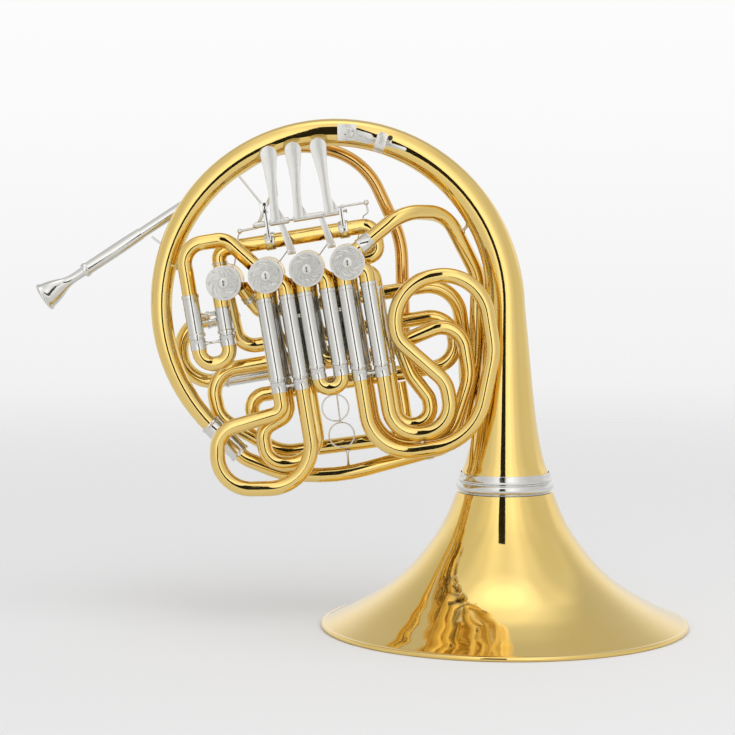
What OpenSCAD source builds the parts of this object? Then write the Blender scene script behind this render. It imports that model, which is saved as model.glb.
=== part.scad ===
// French horn, full double, four rotary valves, screw bell.
// Frame: bell rim centre on the table plane, bell axis up (+Z), valve caps toward -Y.

/* [Bell] */
// Largest outside radius of the rolled bell rim
bell_r = 155.5; // [150:0.5:160]
// Wall thickness of the bell sheet
bell_wall = 0.5; // [0.4:0.05:1]
// Height of the screw ring joint above the table
ring_z = 124; // [120:1:128]
// Radius of the main branch's centre line
branch_r = 144.5; // [140:0.5:150]

/* [Tubing] */
// Outside diameter of the cylindrical tubing
tube_d = 12.6; // [12.4:0.1:12.8]
// Wall thickness of the tubing
tube_wall = 0.5; // [0.4:0.05:0.6]
// Outside diameter of the slide sleeves
sleeve_d = 13.6; // [13.5:0.1:13.7]
// Running clearance of a slide leg in its sleeve, on the radius
slide_fit = 0.05; // [0.02:0.01:0.08]

/* [Valves] */
// Distance between the three valve axes
pitch = 34; // [34:0.1:34.4]
// Distance from the second valve to the change valve
change_x = 69; // [69:0.5:70]
// Outside radius of a valve casing
case_r = 14.5; // [14.3:0.1:14.6]
// Radius of a rotor
rotor_r = 12.95; // [12.9:0.01:12.98]
// Tilt of the valve row
tilt = 9.3; // [9:0.1:10]

/* [Keys] */
// Width of a finger paddle
paddle_w = 14; // [12:0.5:15]
// Height of the lever axle above the valve row
axle_z = 42; // [41:0.5:43]
// Radius of the lever axle
axle_r = 1.2; // [1:0.1:1.3]

/* [Hidden] */
$fn = 40;
ro = tube_d / 2;
ri = ro - tube_wall;
so = sleeve_d / 2;
si = ro + slide_fit;
case_i = 13;
yf = -30;
yb = -13.5;
y0 = -41;
y1 = 9;
brass = [0.86, 0.68, 0.3];
nickel = [0.8, 0.8, 0.78];
vx = [-pitch, 0, pitch, -change_x];

function unit(v) = v / norm(v);
function pt(q, i) = [q[i][0], q[i][1], q[i][2]];
function clamp1(x) = min(1, max(-1, x));
function turn(q, i) = acos(clamp1(unit(pt(q, i) - pt(q, i - 1)) * unit(pt(q, i + 1) - pt(q, i))));
function tl(q, i) = (i == 0 || i == len(q) - 1) ? 0 : q[i][3] * tan(turn(q, i) / 2);

// stands its children at o with their axes along u, v and w
module place(o, u, v, w) {
    multmatrix([[u[0], v[0], w[0], o[0]], [u[1], v[1], w[1], o[1]], [u[2], v[2], w[2], o[2]], [0, 0, 0, 1]])
        children();
}

// stands its children at p with +Z along d
module along(p, d) {
    w = unit(d);
    h = abs(w[2]) > 0.9 ? [1, 0, 0] : [0, 0, 1];
    u = unit(cross(h, w));
    place(p, u, cross(w, u), w) children();
}

module ring(a, b, h) {
    difference() {
        cylinder(r = a, h = h);
        translate([0, 0, -1]) cylinder(r = b, h = h + 2);
    }
}

module rod(a, b, r) {
    along(a, b - a) cylinder(r = r, h = norm(b - a), $fn = 24);
}

// a ring of length h centred at p, looking along d
module collar(p, d, a, b, h) {
    along(p - unit(d) * h / 2, d) ring(a, b, h);
}

// cylindrical tube along corner points [x, y, z, bend radius], with a fine bead at each soldered seam
module tube(q, a = ro, b = ri, gap = 0.01) {
    n = len(q);
    for (i = [0:n - 2]) {
        d = unit(pt(q, i + 1) - pt(q, i));
        s = tl(q, i);
        l = norm(pt(q, i + 1) - pt(q, i)) - s - tl(q, i + 1) - 2 * gap;
        if (l > 0.05) along(pt(q, i) + d * (s + gap), d) ring(a, b, l);
    }
    if (n > 2) for (i = [1:n - 2]) {
        u = unit(pt(q, i) - pt(q, i - 1));
        v = unit(pt(q, i + 1) - pt(q, i));
        r = q[i][3];
        start = pt(q, i) - u * tl(q, i);
        w = unit(cross(u, v));
        inward = cross(w, u);
        place(start + inward * r, -inward, u, w)
            rotate_extrude(angle = turn(q, i), $fn = 72) translate([r, 0]) difference() {
                circle(r = a);
                circle(r = b);
            }
        collar(start, u, a + 0.04, b - 0.04, 0.8);
        collar(pt(q, i) + v * tl(q, i), v, a + 0.04, b - 0.04, 0.8);
    }
}

// tapered tube: list of [point, tangent, outside radius], wall w, n sides
module taper(s, w, n) {
    m = len(s);
    rings = [for (k = [0, 1]) for (i = [0:m - 1])
        let(t = unit(s[i][1]), b = unit([0, 1, 0] - t[1] * t), c = cross(b, t), r = s[i][2] - k * w)
        for (j = [0:n - 1]) s[i][0] + r * (cos(360 * j / n) * c + sin(360 * j / n) * b)];
    o = m * n;
    faces = concat(
        [for (i = [0:m - 2]) for (j = [0:n - 1]) [i * n + j, i * n + (j + 1) % n, (i + 1) * n + (j + 1) % n,
            (i + 1) * n + j]],
        [for (i = [0:m - 2]) for (j = [0:n - 1]) [o + (i + 1) * n + j, o + (i + 1) * n + (j + 1) % n,
            o + i * n + (j + 1) % n, o + i * n + j]],
        [for (j = [0:n - 1]) [o + j, o + (j + 1) % n, (j + 1) % n, j]],
        [for (j = [0:n - 1]) [(m - 1) * n + j, (m - 1) * n + (j + 1) % n, o + (m - 1) * n + (j + 1) % n,
            o + (m - 1) * n + j]]);
    polyhedron(points = rings, faces = faces, convexity = 10);
}

// points with tangents along filleted corners
function samples(q, step) = concat(
    [[pt(q, 0), pt(q, 1) - pt(q, 0)]],
    [for (i = [1:len(q) - 2])
        let(u = unit(pt(q, i) - pt(q, i - 1)), v = unit(pt(q, i + 1) - pt(q, i)), t = turn(q, i),
            w = unit(cross(u, v)), inw = cross(w, u), r = q[i][3], c = pt(q, i) - u * tl(q, i) + inw * r,
            n = ceil(t / step))
        for (k = [0:n]) [c + r * (sin(t * k / n) * u - cos(t * k / n) * inw),
            cos(t * k / n) * u + sin(t * k / n) * inw]],
    [[pt(q, len(q) - 1), pt(q, len(q) - 1) - pt(q, len(q) - 2)]]);

// frame of the valve row: X along the row, Z up the slides
module row() {
    translate([-166, 0, 303]) rotate([0, -tilt, 0]) children();
}

// stands its children on valve axis i, +Z looking to the rear
module valve(i, y = 0) {
    translate([vx[i - 1], y, 0]) rotate([-90, 0, 0]) children();
}

module valve_cut() {
    for (i = [1:4]) valve(i, y0 - 1) cylinder(r = case_r + 0.02, h = y1 - y0 + 2, $fn = 60);
}

// ---- bell ----
bell_out = [[38.6, 124], [38.6, 114.8], [40.7, 114.6], [41.7, 112], [43.5, 107], [45.5, 102], [47.6, 97],
    [49.9, 92], [52.4, 87], [55.3, 82], [58.4, 77], [61.9, 72], [66, 66.5], [70.2, 61], [74.7, 55.5],
    [79.6, 50], [85.2, 44.5], [91.5, 39], [98.6, 33.5], [106.8, 28], [116.5, 22], [127, 16.2],
    [137, 11], [146.5, 6.5], [152.9, 3.5]];

module bell_flare() {
    color(brass) difference() {
        union() {
            rotate_extrude($fn = 96) polygon(concat(bell_out, [for (i = [len(bell_out) - 1:-1:3])
                [bell_out[i][0] - bell_wall * 0.9, bell_out[i][1] - bell_wall * 0.8]],
                [[40.1, 113.8], [38.05, 114], [38.05, 124]]));
            rotate_extrude($fn = 96) translate([bell_r - 2, 1.85]) circle(r = 2, $fn = 24);
        }
        // flat land the horn stands on
        translate([0, 0, -5]) cylinder(r = 200, h = 5);
    }
}

module bell_ring_lower() {
    color(nickel) rotate_extrude($fn = 96)
        polygon([[38.65, 115], [40.6, 115], [41, 115.4], [41, 119], [40.6, 119.3], [41, 119.6],
            [41, ring_z - 0.6], [40.5, ring_z], [38.65, ring_z]]);
}

module bell_ring_upper() {
    color(nickel) rotate_extrude($fn = 96)
        polygon([[37.2, 116], [38, 116], [38, ring_z + 0.1], [39.9, ring_z + 0.1], [39.9, ring_z + 2.6],
            [38.9, ring_z + 3.4], [38.9, ring_z + 6.6], [38.4, ring_z + 7], [37.2, ring_z + 7]]);
}

// outside radius along the bell tail (by height) and the branch (by angle)
tail_r = [[118, 37.1], [124, 37.1], [131, 36.6], [137.4, 33.9], [150, 30.6], [162.5, 28.2], [175, 26.3],
    [187.7, 24.7], [200, 23.3], [213, 22], [225, 20.8], [238, 19.6], [250, 18.4], [262, 17.2]];
arc_r = [[0, 16.3], [15, 15], [30, 14.1], [45, 13.3], [60, 12.6], [75, 12], [90, 11.4], [105, 11.1],
    [120, 10.8], [135, 10.5], [150, 10], [165, 9.5], [180, 9], [195, 8.6], [210, 8], [225, 7.4]];
split = 66;

function on_arc(a) = [[-branch_r + branch_r * cos(a), 0, 271.5 + branch_r * sin(a)], [-sin(a), 0, cos(a)],
    lookup(a, arc_r)];

module bell_tail() {
    color(brass) taper(concat([for (s = tail_r) [[0, 0, s[0]], [0, 0, 1], s[1]]],
        [for (a = [0:6:split]) on_arc(a)]), bell_wall, 28);
}

module main_branch() {
    color(brass) taper([for (k = [0:26]) on_arc(split + 0.05 + (225 - split - 0.05) * k / 26)], 0.6, 20);
}

end_p = [-branch_r - branch_r * sqrt(0.5), 0, 271.5 - branch_r * sqrt(0.5)];
end_d = [sqrt(0.5), 0, -sqrt(0.5)];

module branch_ferrule() {
    color(nickel) {
        along(end_p - end_d * 3, end_d) ring(8.6, 7.75, 36);
        along(end_p - end_d * 3.5, end_d) ring(9.1, 7.75, 2.4);
        along(end_p + end_d * 31, end_d) ring(9.1, 7.75, 2.4);
    }
}

// ---- open tubing, all in the frame of the valve row ----
bottom_q = [[42.5, -30, 8.5, 0], [86, -28.5, 33.5, 36], [121, -4, 27, 30], [140, 12, -30, 40],
    [127.5, 14, -102, 60], [101, 12, -168, 30], [-5, 0, -178, 150], [-50, 0, -167.5, 60],
    [-79.2, 0, -149.8, 25], [-84.1, 0, -143, 0]];

module bottom_branch() {
    color(brass) row() difference() {
        tube(bottom_q);
        valve_cut();
    }
}

return_q = [[42.5, 3, 8, 0], [86, 4, 33.5, 36], [123, 14, 25, 30], [145, 28, -42, 40], [139, 28, -132, 11],
    [115, 26, -132, 11], [120.5, 26, -88, 30], [120.5, 14, -32, 28], [-46, 12, -31, 9], [-57.5, 1, -7, 0]];

module return_bend() {
    color(brass) row() difference() {
        tube(return_q);
        valve_cut();
    }
}

cross_q = [[-72, -3, 8, 0], [-72, -3, 27, 9], [60, -16, 27, 10], [60, -17, 1.5, 8], [44, -17, 1.5, 0]];

module crossover() {
    color(brass) row() difference() {
        tube(cross_q);
        valve_cut();
    }
}

hair_q = [[-71, 0.5, -8, 0], [-68, 12, -58, 16], [112, 12, -58, 20.5], [112, 12, -101, 20.5],
    [-66.5, 12, -100, 12], [-66.5, 12, -125, 0]];
// elbow from the tuning bow into the hairpin's upright run
tee_q = [[-79, 26, -31, 0], [-69.6, 26, -31, 8], [-69.6, 12, -31, 0]];

module hairpin() {
    color(brass) row() difference() {
        union() {
            tube(hair_q);
            tube(tee_q);
        }
        valve_cut();
    }
}

lower_q = [[60, 12, -108, 0], [60, 12, -155, 14], [-48, 12, -151.5, 35], [-95, 12, -114, 22],
    [-97, 12, -74, 22], [14, 12, -74, 8], [14, 12, -64.5, 0]];

module lower_circuit() {
    color(brass) row() tube(lower_q);
}

inlet_q = [[-40, -18, 6, 0], [-63, -18, 35, 16], [-100, -18, 35, 17], [-100, -18, -6, 0]];

module inlet_bend() {
    color(brass) row() difference() {
        tube(inlet_q);
        valve_cut();
    }
}

lead_d = unit([0.9135, 0, 0.4067]);
lead_p = [-103.9, 17, 64.6];
lead_q = [[-142, 17, 47.6, 0], [-2, 18.5, 109, 83], [61.1, 20, 82.9, 60], [81.5, 25.5, 10, 80],
    [68.5, 26, -83, 22], [-2, 26, -83, 0]];

module leadpipe() {
    s = samples(lead_q, 7);
    color(nickel) row() taper([for (i = [0:len(s) - 1]) [s[i][0], s[i][1],
        4.5 + 1.4 * min(1, i / (len(s) - 8))]], 0.5, 16);
}

module receiver() {
    color(nickel) row() along(lead_p - 92 * lead_d, lead_d) rotate_extrude($fn = 48)
        polygon([[4.3, 0], [5.9, 0], [6.1, 0.4], [6.1, 3.4], [5.7, 4], [5.5, 5], [5.6, 40], [5.5, 46],
            [5.1, 56], [4.9, 58], [4.55, 58], [4.55, 48.4], [3.2, 48.4], [3.2, 26], [4.3, 0]]);
}

module mouthpiece() {
    color(nickel) row() along(lead_p - 133 * lead_d, lead_d) rotate_extrude($fn = 64)
        polygon([[8.75, 0.6], [9.6, 0], [11.4, 0], [12.4, 0.9], [12.4, 2.1], [11.6, 3.4], [10.9, 5], [10.2, 9],
            [8.7, 14], [6.6, 19], [5, 23], [4.2, 27], [3.9, 31], [4, 36], [4.15, 40.5], [3.95, 44], [3.3, 63],
            [2.9, 63], [2.3, 30], [2.25, 24], [3.2, 20], [6, 12], [7.8, 6], [8.6, 2.5]]);
}

module leadpipe_brace() {
    color(nickel) row() {
        tube([[-126, 14, 46.5, 0], [-118, 12, 38, 6], [-120.5, 2, 22, 0]], 1, 0.2);
        rod([-121, 2.1, 22.6], [-121, 2.1, 21], 2);
    }
}

// ---- valves ----
module stub(p, l) {
    translate(p) cylinder(r = so, h = l);
}

module casing(i, front, back) {
    color(nickel) row() difference() {
        union() {
            valve(i, y0) cylinder(r = case_r, h = y1 - y0, $fn = 60);
            if (front) {
                translate([vx[i - 1] - 5, yf, -18]) cylinder(r = so, h = 14);
                translate([vx[i - 1] + 14, yf, -18]) cylinder(r = so, h = 9.6);
                translate([vx[i - 1] + 14, yf, -8.4]) sphere(r = so + 0.05);
            }
            if (back) {
                translate([vx[i - 1] - 1, yb, -24]) cylinder(r = so, h = 20);
                translate([vx[i - 1] + 19, yb, -24]) cylinder(r = so, h = 8);
                translate([vx[i - 1] + 19, yb, -16]) sphere(r = so + 0.05);
                along([vx[i - 1] + 4, yb, -4], [15, 0, -12]) cylinder(r = so - 0.3, h = 19.2);
            }
            if (i == 4) translate([-75, -18, -20]) cylinder(r = so, h = 14);
        }
        valve(i, y0 - 1) cylinder(r = case_i, h = y1 - y0 + 2, $fn = 60);
        if (front) {
            translate([vx[i - 1] - 5, yf, -19]) cylinder(r = ri, h = 18);
            translate([vx[i - 1] + 14, yf, -19]) cylinder(r = ri, h = 11);
        }
        if (back) {
            translate([vx[i - 1] - 1, yb, -25]) cylinder(r = ri, h = 22);
            translate([vx[i - 1] + 19, yb, -25]) cylinder(r = ri, h = 9);
        }
        if (i == 4) translate([-75, -18, -21]) cylinder(r = ri, h = 18);
    }
}

module casing_1() casing(1, true, true);
module casing_2() casing(2, true, true);
module casing_3() casing(3, true, true);
module casing_4() casing(4, false, false);

module cap(i) {
    color(nickel) row() valve(i, y0) rotate([180, 0, 0]) difference() {
        rotate_extrude($fn = 72) polygon([[0, 0.05], [14.4, 0.05], [14.6, 0.4], [14.6, 3.2], [14, 4],
            [12.4, 4.3], [12, 4.8], [6.2, 5], [5.6, 6], [4.6, 6.8], [0, 7]]);
        translate([-0.6, -3.6, 5.9]) cube([1.2, 7.2, 3]);
    }
}

module cap_1() cap(1);
module cap_2() cap(2);
module cap_3() cap(3);
module cap_4() cap(4);

module rear_plates() {
    color(nickel) row() for (i = [1:4]) valve(i, y1 + 0.05) difference() {
        union() {
            cylinder(r = case_r, h = 2.4, $fn = 60);
            cylinder(r = 6, h = 3.2);
        }
        translate([0, 0, -1]) cylinder(r = 3.05, h = 6);
    }
}

// rotor with its two passages on each tier, spindle, stop arm and screw
module rotor(i) {
    color(brass) row() valve(i, y0 + 1) difference() {
        union() {
            cylinder(r = rotor_r, h = y1 - y0 - 1.5, $fn = 60);
            cylinder(r = 3, h = 57);
            translate([0, 0, 53.4]) cylinder(r = 4.6, h = 4.6);
            translate([-2, 0, 53.4]) cube([4, 10.5, 2.6]);
            translate([0, 10.5, 53.4]) cylinder(r = 2, h = 2.6);
            translate([0, 0, 57]) cylinder(r = 2.6, h = 2);
        }
        for (z = [10, 26.5]) for (x = [-8, 8]) translate([x, 0, z]) rotate([90, 0, 0])
            translate([0, 0, -20]) cylinder(r = 4.4, h = 40);
        // hollowed rear end
        translate([0, 0, 33]) ring(11, 5, 20);
        translate([-3, -0.4, 58.2]) cube([6, 0.8, 2]);
    }
}

module rotor_1() rotor(1);
module rotor_2() rotor(2);
module rotor_3() rotor(3);
module rotor_4() rotor(4);

// bumper corks on their carrier, two for each stop arm
module bumpers() {
    color([0.12, 0.12, 0.12]) row() for (i = [1:4]) valve(i, y1 + 2.5)
        for (a = [65, -155]) rotate([0, 0, a]) translate([9.6, 0, 0]) cylinder(r = 1.7, h = 4.6);
}

// ---- sleeves of the valve slides ----
module sleeves(i, zf, zb) {
    color(nickel) row() {
        for (x = [-5, 14]) translate([vx[i - 1] + x, yf, zf]) {
            ring(so, si, -18.05 - zf);
            ring(so + 0.5, si, 3);
            translate([0, 0, -18.05 - zf - 3]) ring(so + 0.35, si, 3);
        }
        for (x = [-1, 19]) translate([vx[i - 1] + x, yb, zb]) {
            ring(so, si, -24.05 - zb);
            ring(so + 0.2, si, 3);
        }
    }
}

module sleeves_1() sleeves(1, -87, -87);
module sleeves_2() sleeves(2, -82, -62);
module sleeves_3() sleeves(3, -88, -87);

module sleeves_main() {
    color(nickel) row() {
        translate([-100, -18, -42]) ring(so, si, 35.95);
        translate([-100, -18, -42]) ring(so + 0.7, si, 3);
        translate([-100, -18, -9.1]) ring(so + 0.5, si, 3);
        translate([-75, -18, -42]) ring(so, si, 21.95);
        translate([-75, -18, -42]) ring(so + 0.7, si, 3);
    }
}

module sleeves_f() {
    color(nickel) row() {
        along([-86, 26, -83], [1, 0, 0]) ring(so, si, 83.9);
        along([-86, 26, -83], [1, 0, 0]) ring(so + 0.7, si, 3);
        along([-93, 26, -31], [1, 0, 0]) ring(so, si, 13.9);
        along([-93, 26, -31], [1, 0, 0]) ring(so + 0.7, si, 3);
    }
}

// ---- slides ----
f1_q = [[-39, yf, -26, 0], [-39, yf, -114, 9], [-95, yf, -121, 20], [-104, yf, -169, 28], [-20, yf, -181, 36],
    [-20, yf, -26, 0]];
f2_q = [[-5, yf, -26, 0], [-5, yf, -100.5, 8.8], [14, yf, -100.5, 8.8], [14, yf, -26, 0]];
f3_q = [[29, yf, -26, 0], [29, yf, -163, 36], [114, yf, -164.5, 50], [141.5, yf, -92, 60], [141.5, yf, -23, 37],
    [64.5, yf, -23, 37], [64.5, yf, -70, 22], [98.7, yf, -111.5, 24], [98.7, yf, -150.5, 24.5],
    [48, yf, -150.5, 24.5], [48, yf, -26, 0]];
b1_q = [[-35, yb, -32, 0], [-35, yb, -118, 12], [-59.5, yb, -127, 12], [-60, yb, -157, 17], [-15, yb, -162, 24],
    [-15, yb, -32, 0]];
b2_q = [[-1, yb, -32, 0], [-1, yb, -78, 9.2], [19, yb, -78, 9.2], [19, yb, -32, 0]];
b3_q = [[33, yb, -32, 0], [33, yb, -160.5, 33], [93, yb, -162, 30], [119, yb, -111, 40], [119, yb, -61, 20],
    [65.2, yb, -74, 10], [71, yb, -102, 24], [82.5, yb, -123, 14], [82.5, yb, -143.5, 14],
    [53, yb, -143.5, 14], [53, yb, -32, 0]];
main_q = [[-100, -18, -18, 0], [-100, -18, -66, 11.8], [-75, -18, -66, 11.8], [-75, -18, -26, 0]];
tun_q = [[-30, 26, -83, 0], [-119, 26, -83, 25], [-119, 26, -31, 25], [-80.3, 26, -31, 0]];

// a nickel end ferrule at height z on a leg
module end_ferrule(x, y, z, h = 9) {
    translate([x, y, z]) ring(so + 0.1, ro - 0.02, h);
}

module slide(q, x1, x2, y, z) {
    tube(q);
    for (x = [x1, x2]) end_ferrule(x, y, z);
}

module slide_f1() {
    color(brass) row() {
        slide(f1_q, -39, -20, yf, -97.5);
        rod([-33, yf, -93], [-26, yf, -93], 1.5);
    }
}

module slide_f2() {
    color(brass) row() {
        slide(f2_q, -5, 14, yf, -91.5);
        translate([4.5, yf, -117.4]) rotate([90, 0, 0]) rotate_extrude($fn = 60)
            translate([11, 0]) circle(r = 0.9, $fn = 16);
    }
}

module slide_f3() {
    color(brass) row() {
        slide(f3_q, 29, 48, yf, -98);
        rod([35, yf, -93.5], [42, yf, -93.5], 1.5);
        rod([71, yf, -156.6], [71, yf, -157.6], 2.2);
    }
}

module slide_b1() {
    color(brass) row() slide(b1_q, -35, -15, yb, -97.5);
}

module slide_b2() {
    color(brass) row() {
        slide(b2_q, -1, 19, yb, -72.5);
        rod([8, yb, -83.8], [6, yb, -132], 0.9);
        translate([5.5, yb, -142.4]) rotate([90, 0, 0]) rotate_extrude($fn = 60)
            translate([10.6, 0]) circle(r = 0.9, $fn = 16);
    }
}

module slide_b3() {
    color(brass) row() slide(b3_q, 33, 53, yb, -97.5);
}

module slide_main() {
    color(brass) row() {
        slide(main_q, -100, -75, -18, -52.5);
        rod([-94.1, -18, -48], [-80.9, -18, -48], 1.4);
    }
}

module slide_tuning_f() {
    color(brass) row() {
        tube(tun_q);
        along([-96.5, 26, -83], [1, 0, 0]) ring(so + 0.1, ro - 0.02, 9);
    }
}

// ---- keys ----
// per lever: paddle centre, stem centre, hub from and to, arm centre
lv = [[-16, -19.3, -24.4, -8.4, -10.5], [4.4, 0, -4.6, 20.6, 23], [25.3, 25.8, 21.2, 33.4, 0]];
ay = -22;

module paddle(x, b, top) {
    translate([0, ay - 1.8, 0]) rotate([90, 0, 0]) linear_extrude(1.6) union() {
        translate([x, top - paddle_w / 2]) circle(r = paddle_w / 2);
        polygon([[x - paddle_w / 2, top - paddle_w / 2], [x + paddle_w / 2, top - paddle_w / 2],
            [b + 4.2, axle_z + 8], [b + 4.2, axle_z], [b - 4.2, axle_z], [b - 4.2, axle_z + 8]]);
    }
}

module axle_hole() {
    translate([-70, ay, axle_z]) rotate([0, 90, 0]) cylinder(r = axle_r + 0.05, h = 140);
}

module lever(i) {
    v = lv[i - 1];
    difference() {
        union() {
            paddle(v[0], v[1], 105);
            translate([v[2], ay, axle_z]) rotate([0, 90, 0]) cylinder(r = 2.6, h = v[3] - v[2]);
            // gusset between paddle and hub
            translate([v[1] + 4, ay, axle_z]) rotate([90, 0, 0]) linear_extrude(2.2)
                polygon([[0, 0], [3.6, 0], [3.6, 3], [0, 11.5]]);
            if (i < 3) {
                translate([v[4], ay + 1.4, 0]) rotate([90, 0, 0]) linear_extrude(1.4)
                    polygon([[-7, axle_z - 1], [-2.4, axle_z - 1], [3.3, 17], [-3.3, 17]]);
                translate([v[4] - 3.4, ay - 1, 13.6]) cube([6.8, 4, 4]);
            }
        }
        axle_hole();
    }
}

module lever_1() {
    color(nickel) row() lever(1);
}

module lever_2() {
    color(nickel) row() lever(2);
}

module lever_3() {
    color(nickel) row() {
        lever(3);
        rod([28, ay, axle_z + 4], [57, ay, axle_z + 4], 1);
        rod([28, ay, axle_z + 2], [28, ay, axle_z + 4.6], 1.2);
        translate([57, ay, axle_z + 4]) sphere(r = 2.3, $fn = 30);
        rod([57, ay, axle_z + 3], [57.3, ay + 1, 38.4], 0.8);
    }
}

module lever_thumb() {
    color(nickel) row() difference() {
        union() {
            translate([-36.6, ay, axle_z]) rotate([0, 90, 0]) cylinder(r = 2.6, h = 8);
            rod([-33, ay + 1, axle_z + 1.5], [-19.5, 2.6, 66], 1.5);
            translate([-18.4, 4, 0]) rotate([90, 0, 0]) linear_extrude(1.8) union() {
                polygon([[-3.4, 62], [3.4, 62], [4.6, 82], [-4.6, 82]]);
                translate([0, 82]) circle(r = 4.8);
            }
            rod([-35, ay + 1.2, axle_z - 2], [-50.5, -13, 39.4], 1);
            translate([-50.5, -13, 39.4]) rotate([0, 0, 180]) sphere(r = 2.2, $fn = 30);
        }
        axle_hole();
    }
}

module lever_axle() {
    color(nickel) row() {
        translate([-37.6, ay, axle_z]) rotate([0, 90, 0]) cylinder(r = axle_r, h = 77);
        translate([-38.6, ay, axle_z]) rotate([0, 90, 0]) cylinder(r = 2, h = 1);
        translate([39.4, ay, axle_z]) rotate([0, 90, 0]) cylinder(r = 2, h = 1);
    }
}

// posts that carry the axle, standing on saddles of the crossover tube
module post(x, y, top) {
    difference() {
        union() {
            translate([x - 1.6, ay - 2.6, 28]) cube([3.2, 3.6, top - 28]);
            translate([x, y, 27]) rotate([0, 0, -5.625]) rotate([0, 90, 0]) translate([0, 0, -4])
                ring(ro + 1.2, ro + 0.08, 8);
            translate([x - 1.6, ay, 30]) cube([3.2, y - ay - 4.6, 2]);
        }
        translate([x - 5, ay, axle_z]) rotate([0, 90, 0]) cylinder(r = axle_r + 0.03, h = 10);
        translate([x, y, 27]) rotate([0, 0, -5.625]) rotate([0, 90, 0]) translate([0, 0, -7])
            cylinder(r = ro + 0.08, h = 14);
    }
}

module key_bridge() {
    color(nickel) row() {
        post(-26.8, -3 - 13 * 45.2 / 132, 51);
        post(35.4, -3 - 13 * 107.4 / 132, 44.6);
        difference() {
            translate([-30.8, ay - 2.6, 50.4]) cube([6.8, 2.4, 9]);
            translate([-26.8, ay + 1, 55.8]) rotate([90, 0, 0]) cylinder(r = 1.3, h = 6);
        }
        rod([-28.6, ay - 1, 59], [-43.4, -9, 84], 0.9);
    }
}

// cords from the lever arms back to the stop arms
module string(a, b, c) {
    rod(a, b, 0.5);
    translate(b) sphere(r = 0.52, $fn = 20);
    rod(b, c, 0.5);
}

module linkage_strings() {
    color([0.85, 0.85, 0.8]) row() {
        string([-10.5, -16, 16.6], [-15, 15.5, 16.6], [-29, 15.5, 2.8]);
        string([23, -16, 16.6], [19, 15.5, 16.6], [5, 15.5, 2.8]);
        string([57.3, -18.6, 37.6], [53, 15.5, 35], [39, 15.5, 2.8]);
        string([-51, -9.4, 37.6], [-54, 15.5, 36], [-64, 15.5, 2.8]);
    }
}

// ---- trim ----
module joint_ferrules() {
    color(nickel) row() {
        d1 = pt(bottom_q, 1) - pt(bottom_q, 0);
        collar([46, -29.88, 10.51] + unit(d1) * 6, d1, ro + 0.8, ro + 0.05, 12);
        d2 = pt(return_q, 9) - pt(return_q, 8);
        collar([-46, 12, -31] + unit(d2) * 17, d2, ro + 0.6, ro + 0.05, 5);
        collar([-72, -3, 15.6], [0, 0, 1], ro + 0.6, ro + 0.1, 2);
        collar([101, 12, -168] + unit([-106, -12, -10]) * 26, [-106, -12, -10], ro + 0.7, ro + 0.05, 6);
    }
}

module braces() {
    color(nickel) row() {
        rod([-12.9, yf, -37], [-12.1, yf, -37], 2.4);
        rod([21.1, yf, -37.5], [21.9, yf, -37.5], 2.4);
        rod([-93, -18, -30], [-82, -18, -30], 1.3);
        rod([7.5, 8, -158.8], [6.5, 2, -170.6], 1.3);
        rod([-113.9, -3, 21], [-106.9, -16, 19], 2);
        rod([133, 1, 9], [137, -2, 13], 1.8);
    }
}

// ---- finger hook, in the part's own frame ----
module hook_base() {
    color(nickel) {
        difference() {
            along([-144.5 + 144.5 * cos(85.5), 0, 271.5 + 144.5 * sin(85.5)], [0, -1, 0])
                translate([-8, -7, 0]) cube([16, 14, 14.2]);
            translate([-144.5, 0, 271.5]) rotate([90, 0, 0]) rotate_extrude($fn = 180)
                translate([144.5, 0]) circle(r = 11.9, $fn = 60);
        }
        translate([-131.2, -12.1, 414.9]) rotate([90, 16, 0]) translate([-6, -4.5, 0]) cube([27, 9, 2.2]);
    }
}

module hook_screw() {
    color(nickel) translate([-131.4, -17.05, 414.9]) rotate([90, 0, 0]) difference() {
        union() {
            cylinder(r = 4, h = 2.2);
            translate([0, 0, -2.6]) cylinder(r = 1.5, h = 3);
        }
        translate([-5, -0.5, 1.3]) cube([10, 1, 2]);
    }
}

module finger_hook() {
    color(nickel) translate([-131.4, -14.4, 414.9]) rotate([90, 16, 0]) difference() {
        union() {
            translate([-5, -3, 0]) cube([34, 6, 2.4]);
            // strip that curls round the finger, and its rounded lip
            translate([23, 0, 0]) rotate([90, 0, 90]) linear_extrude(8.8) difference() {
                translate([0, 8.8]) circle(r = 8.8);
                translate([0, 8.8]) circle(r = 7);
                translate([0, -1]) square([20, 20]);
            }
            translate([23, -0.5, 15.8]) cube([8.8, 4.5, 1.8]);
            translate([27.4, 4, 15.8]) cylinder(r = 4.38, h = 1.79);
            // tail of the strip and its stop bead
            translate([28.5, -1.7, 0]) cube([21, 3.4, 2]);
            translate([31.8, -1.2, 0]) cube([4.4, 8.4, 1.9]);
            translate([34, 5.6, 1]) cylinder(r = 2.1, h = 3.4);
        }
        translate([0, 0, -1]) cylinder(r = 1.55, h = 5);
    }
}

bell_flare();
bell_ring_lower();
bell_ring_upper();
bell_tail();
main_branch();
branch_ferrule();
bottom_branch();
mouthpiece();
receiver();
leadpipe();
leadpipe_brace();
casing_1();
casing_2();
casing_3();
casing_4();
cap_1();
cap_2();
cap_3();
cap_4();
rear_plates();
rotor_1();
rotor_2();
rotor_3();
rotor_4();
bumpers();
sleeves_1();
sleeves_2();
sleeves_3();
sleeves_main();
sleeves_f();
inlet_bend();
crossover();
hairpin();
return_bend();
lower_circuit();
slide_f1();
slide_f2();
slide_f3();
slide_b1();
slide_b2();
slide_b3();
slide_main();
slide_tuning_f();
lever_1();
lever_2();
lever_3();
lever_thumb();
lever_axle();
key_bridge();
linkage_strings();
joint_ferrules();
braces();
hook_base();
hook_screw();
finger_hook();
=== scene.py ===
import math

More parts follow.
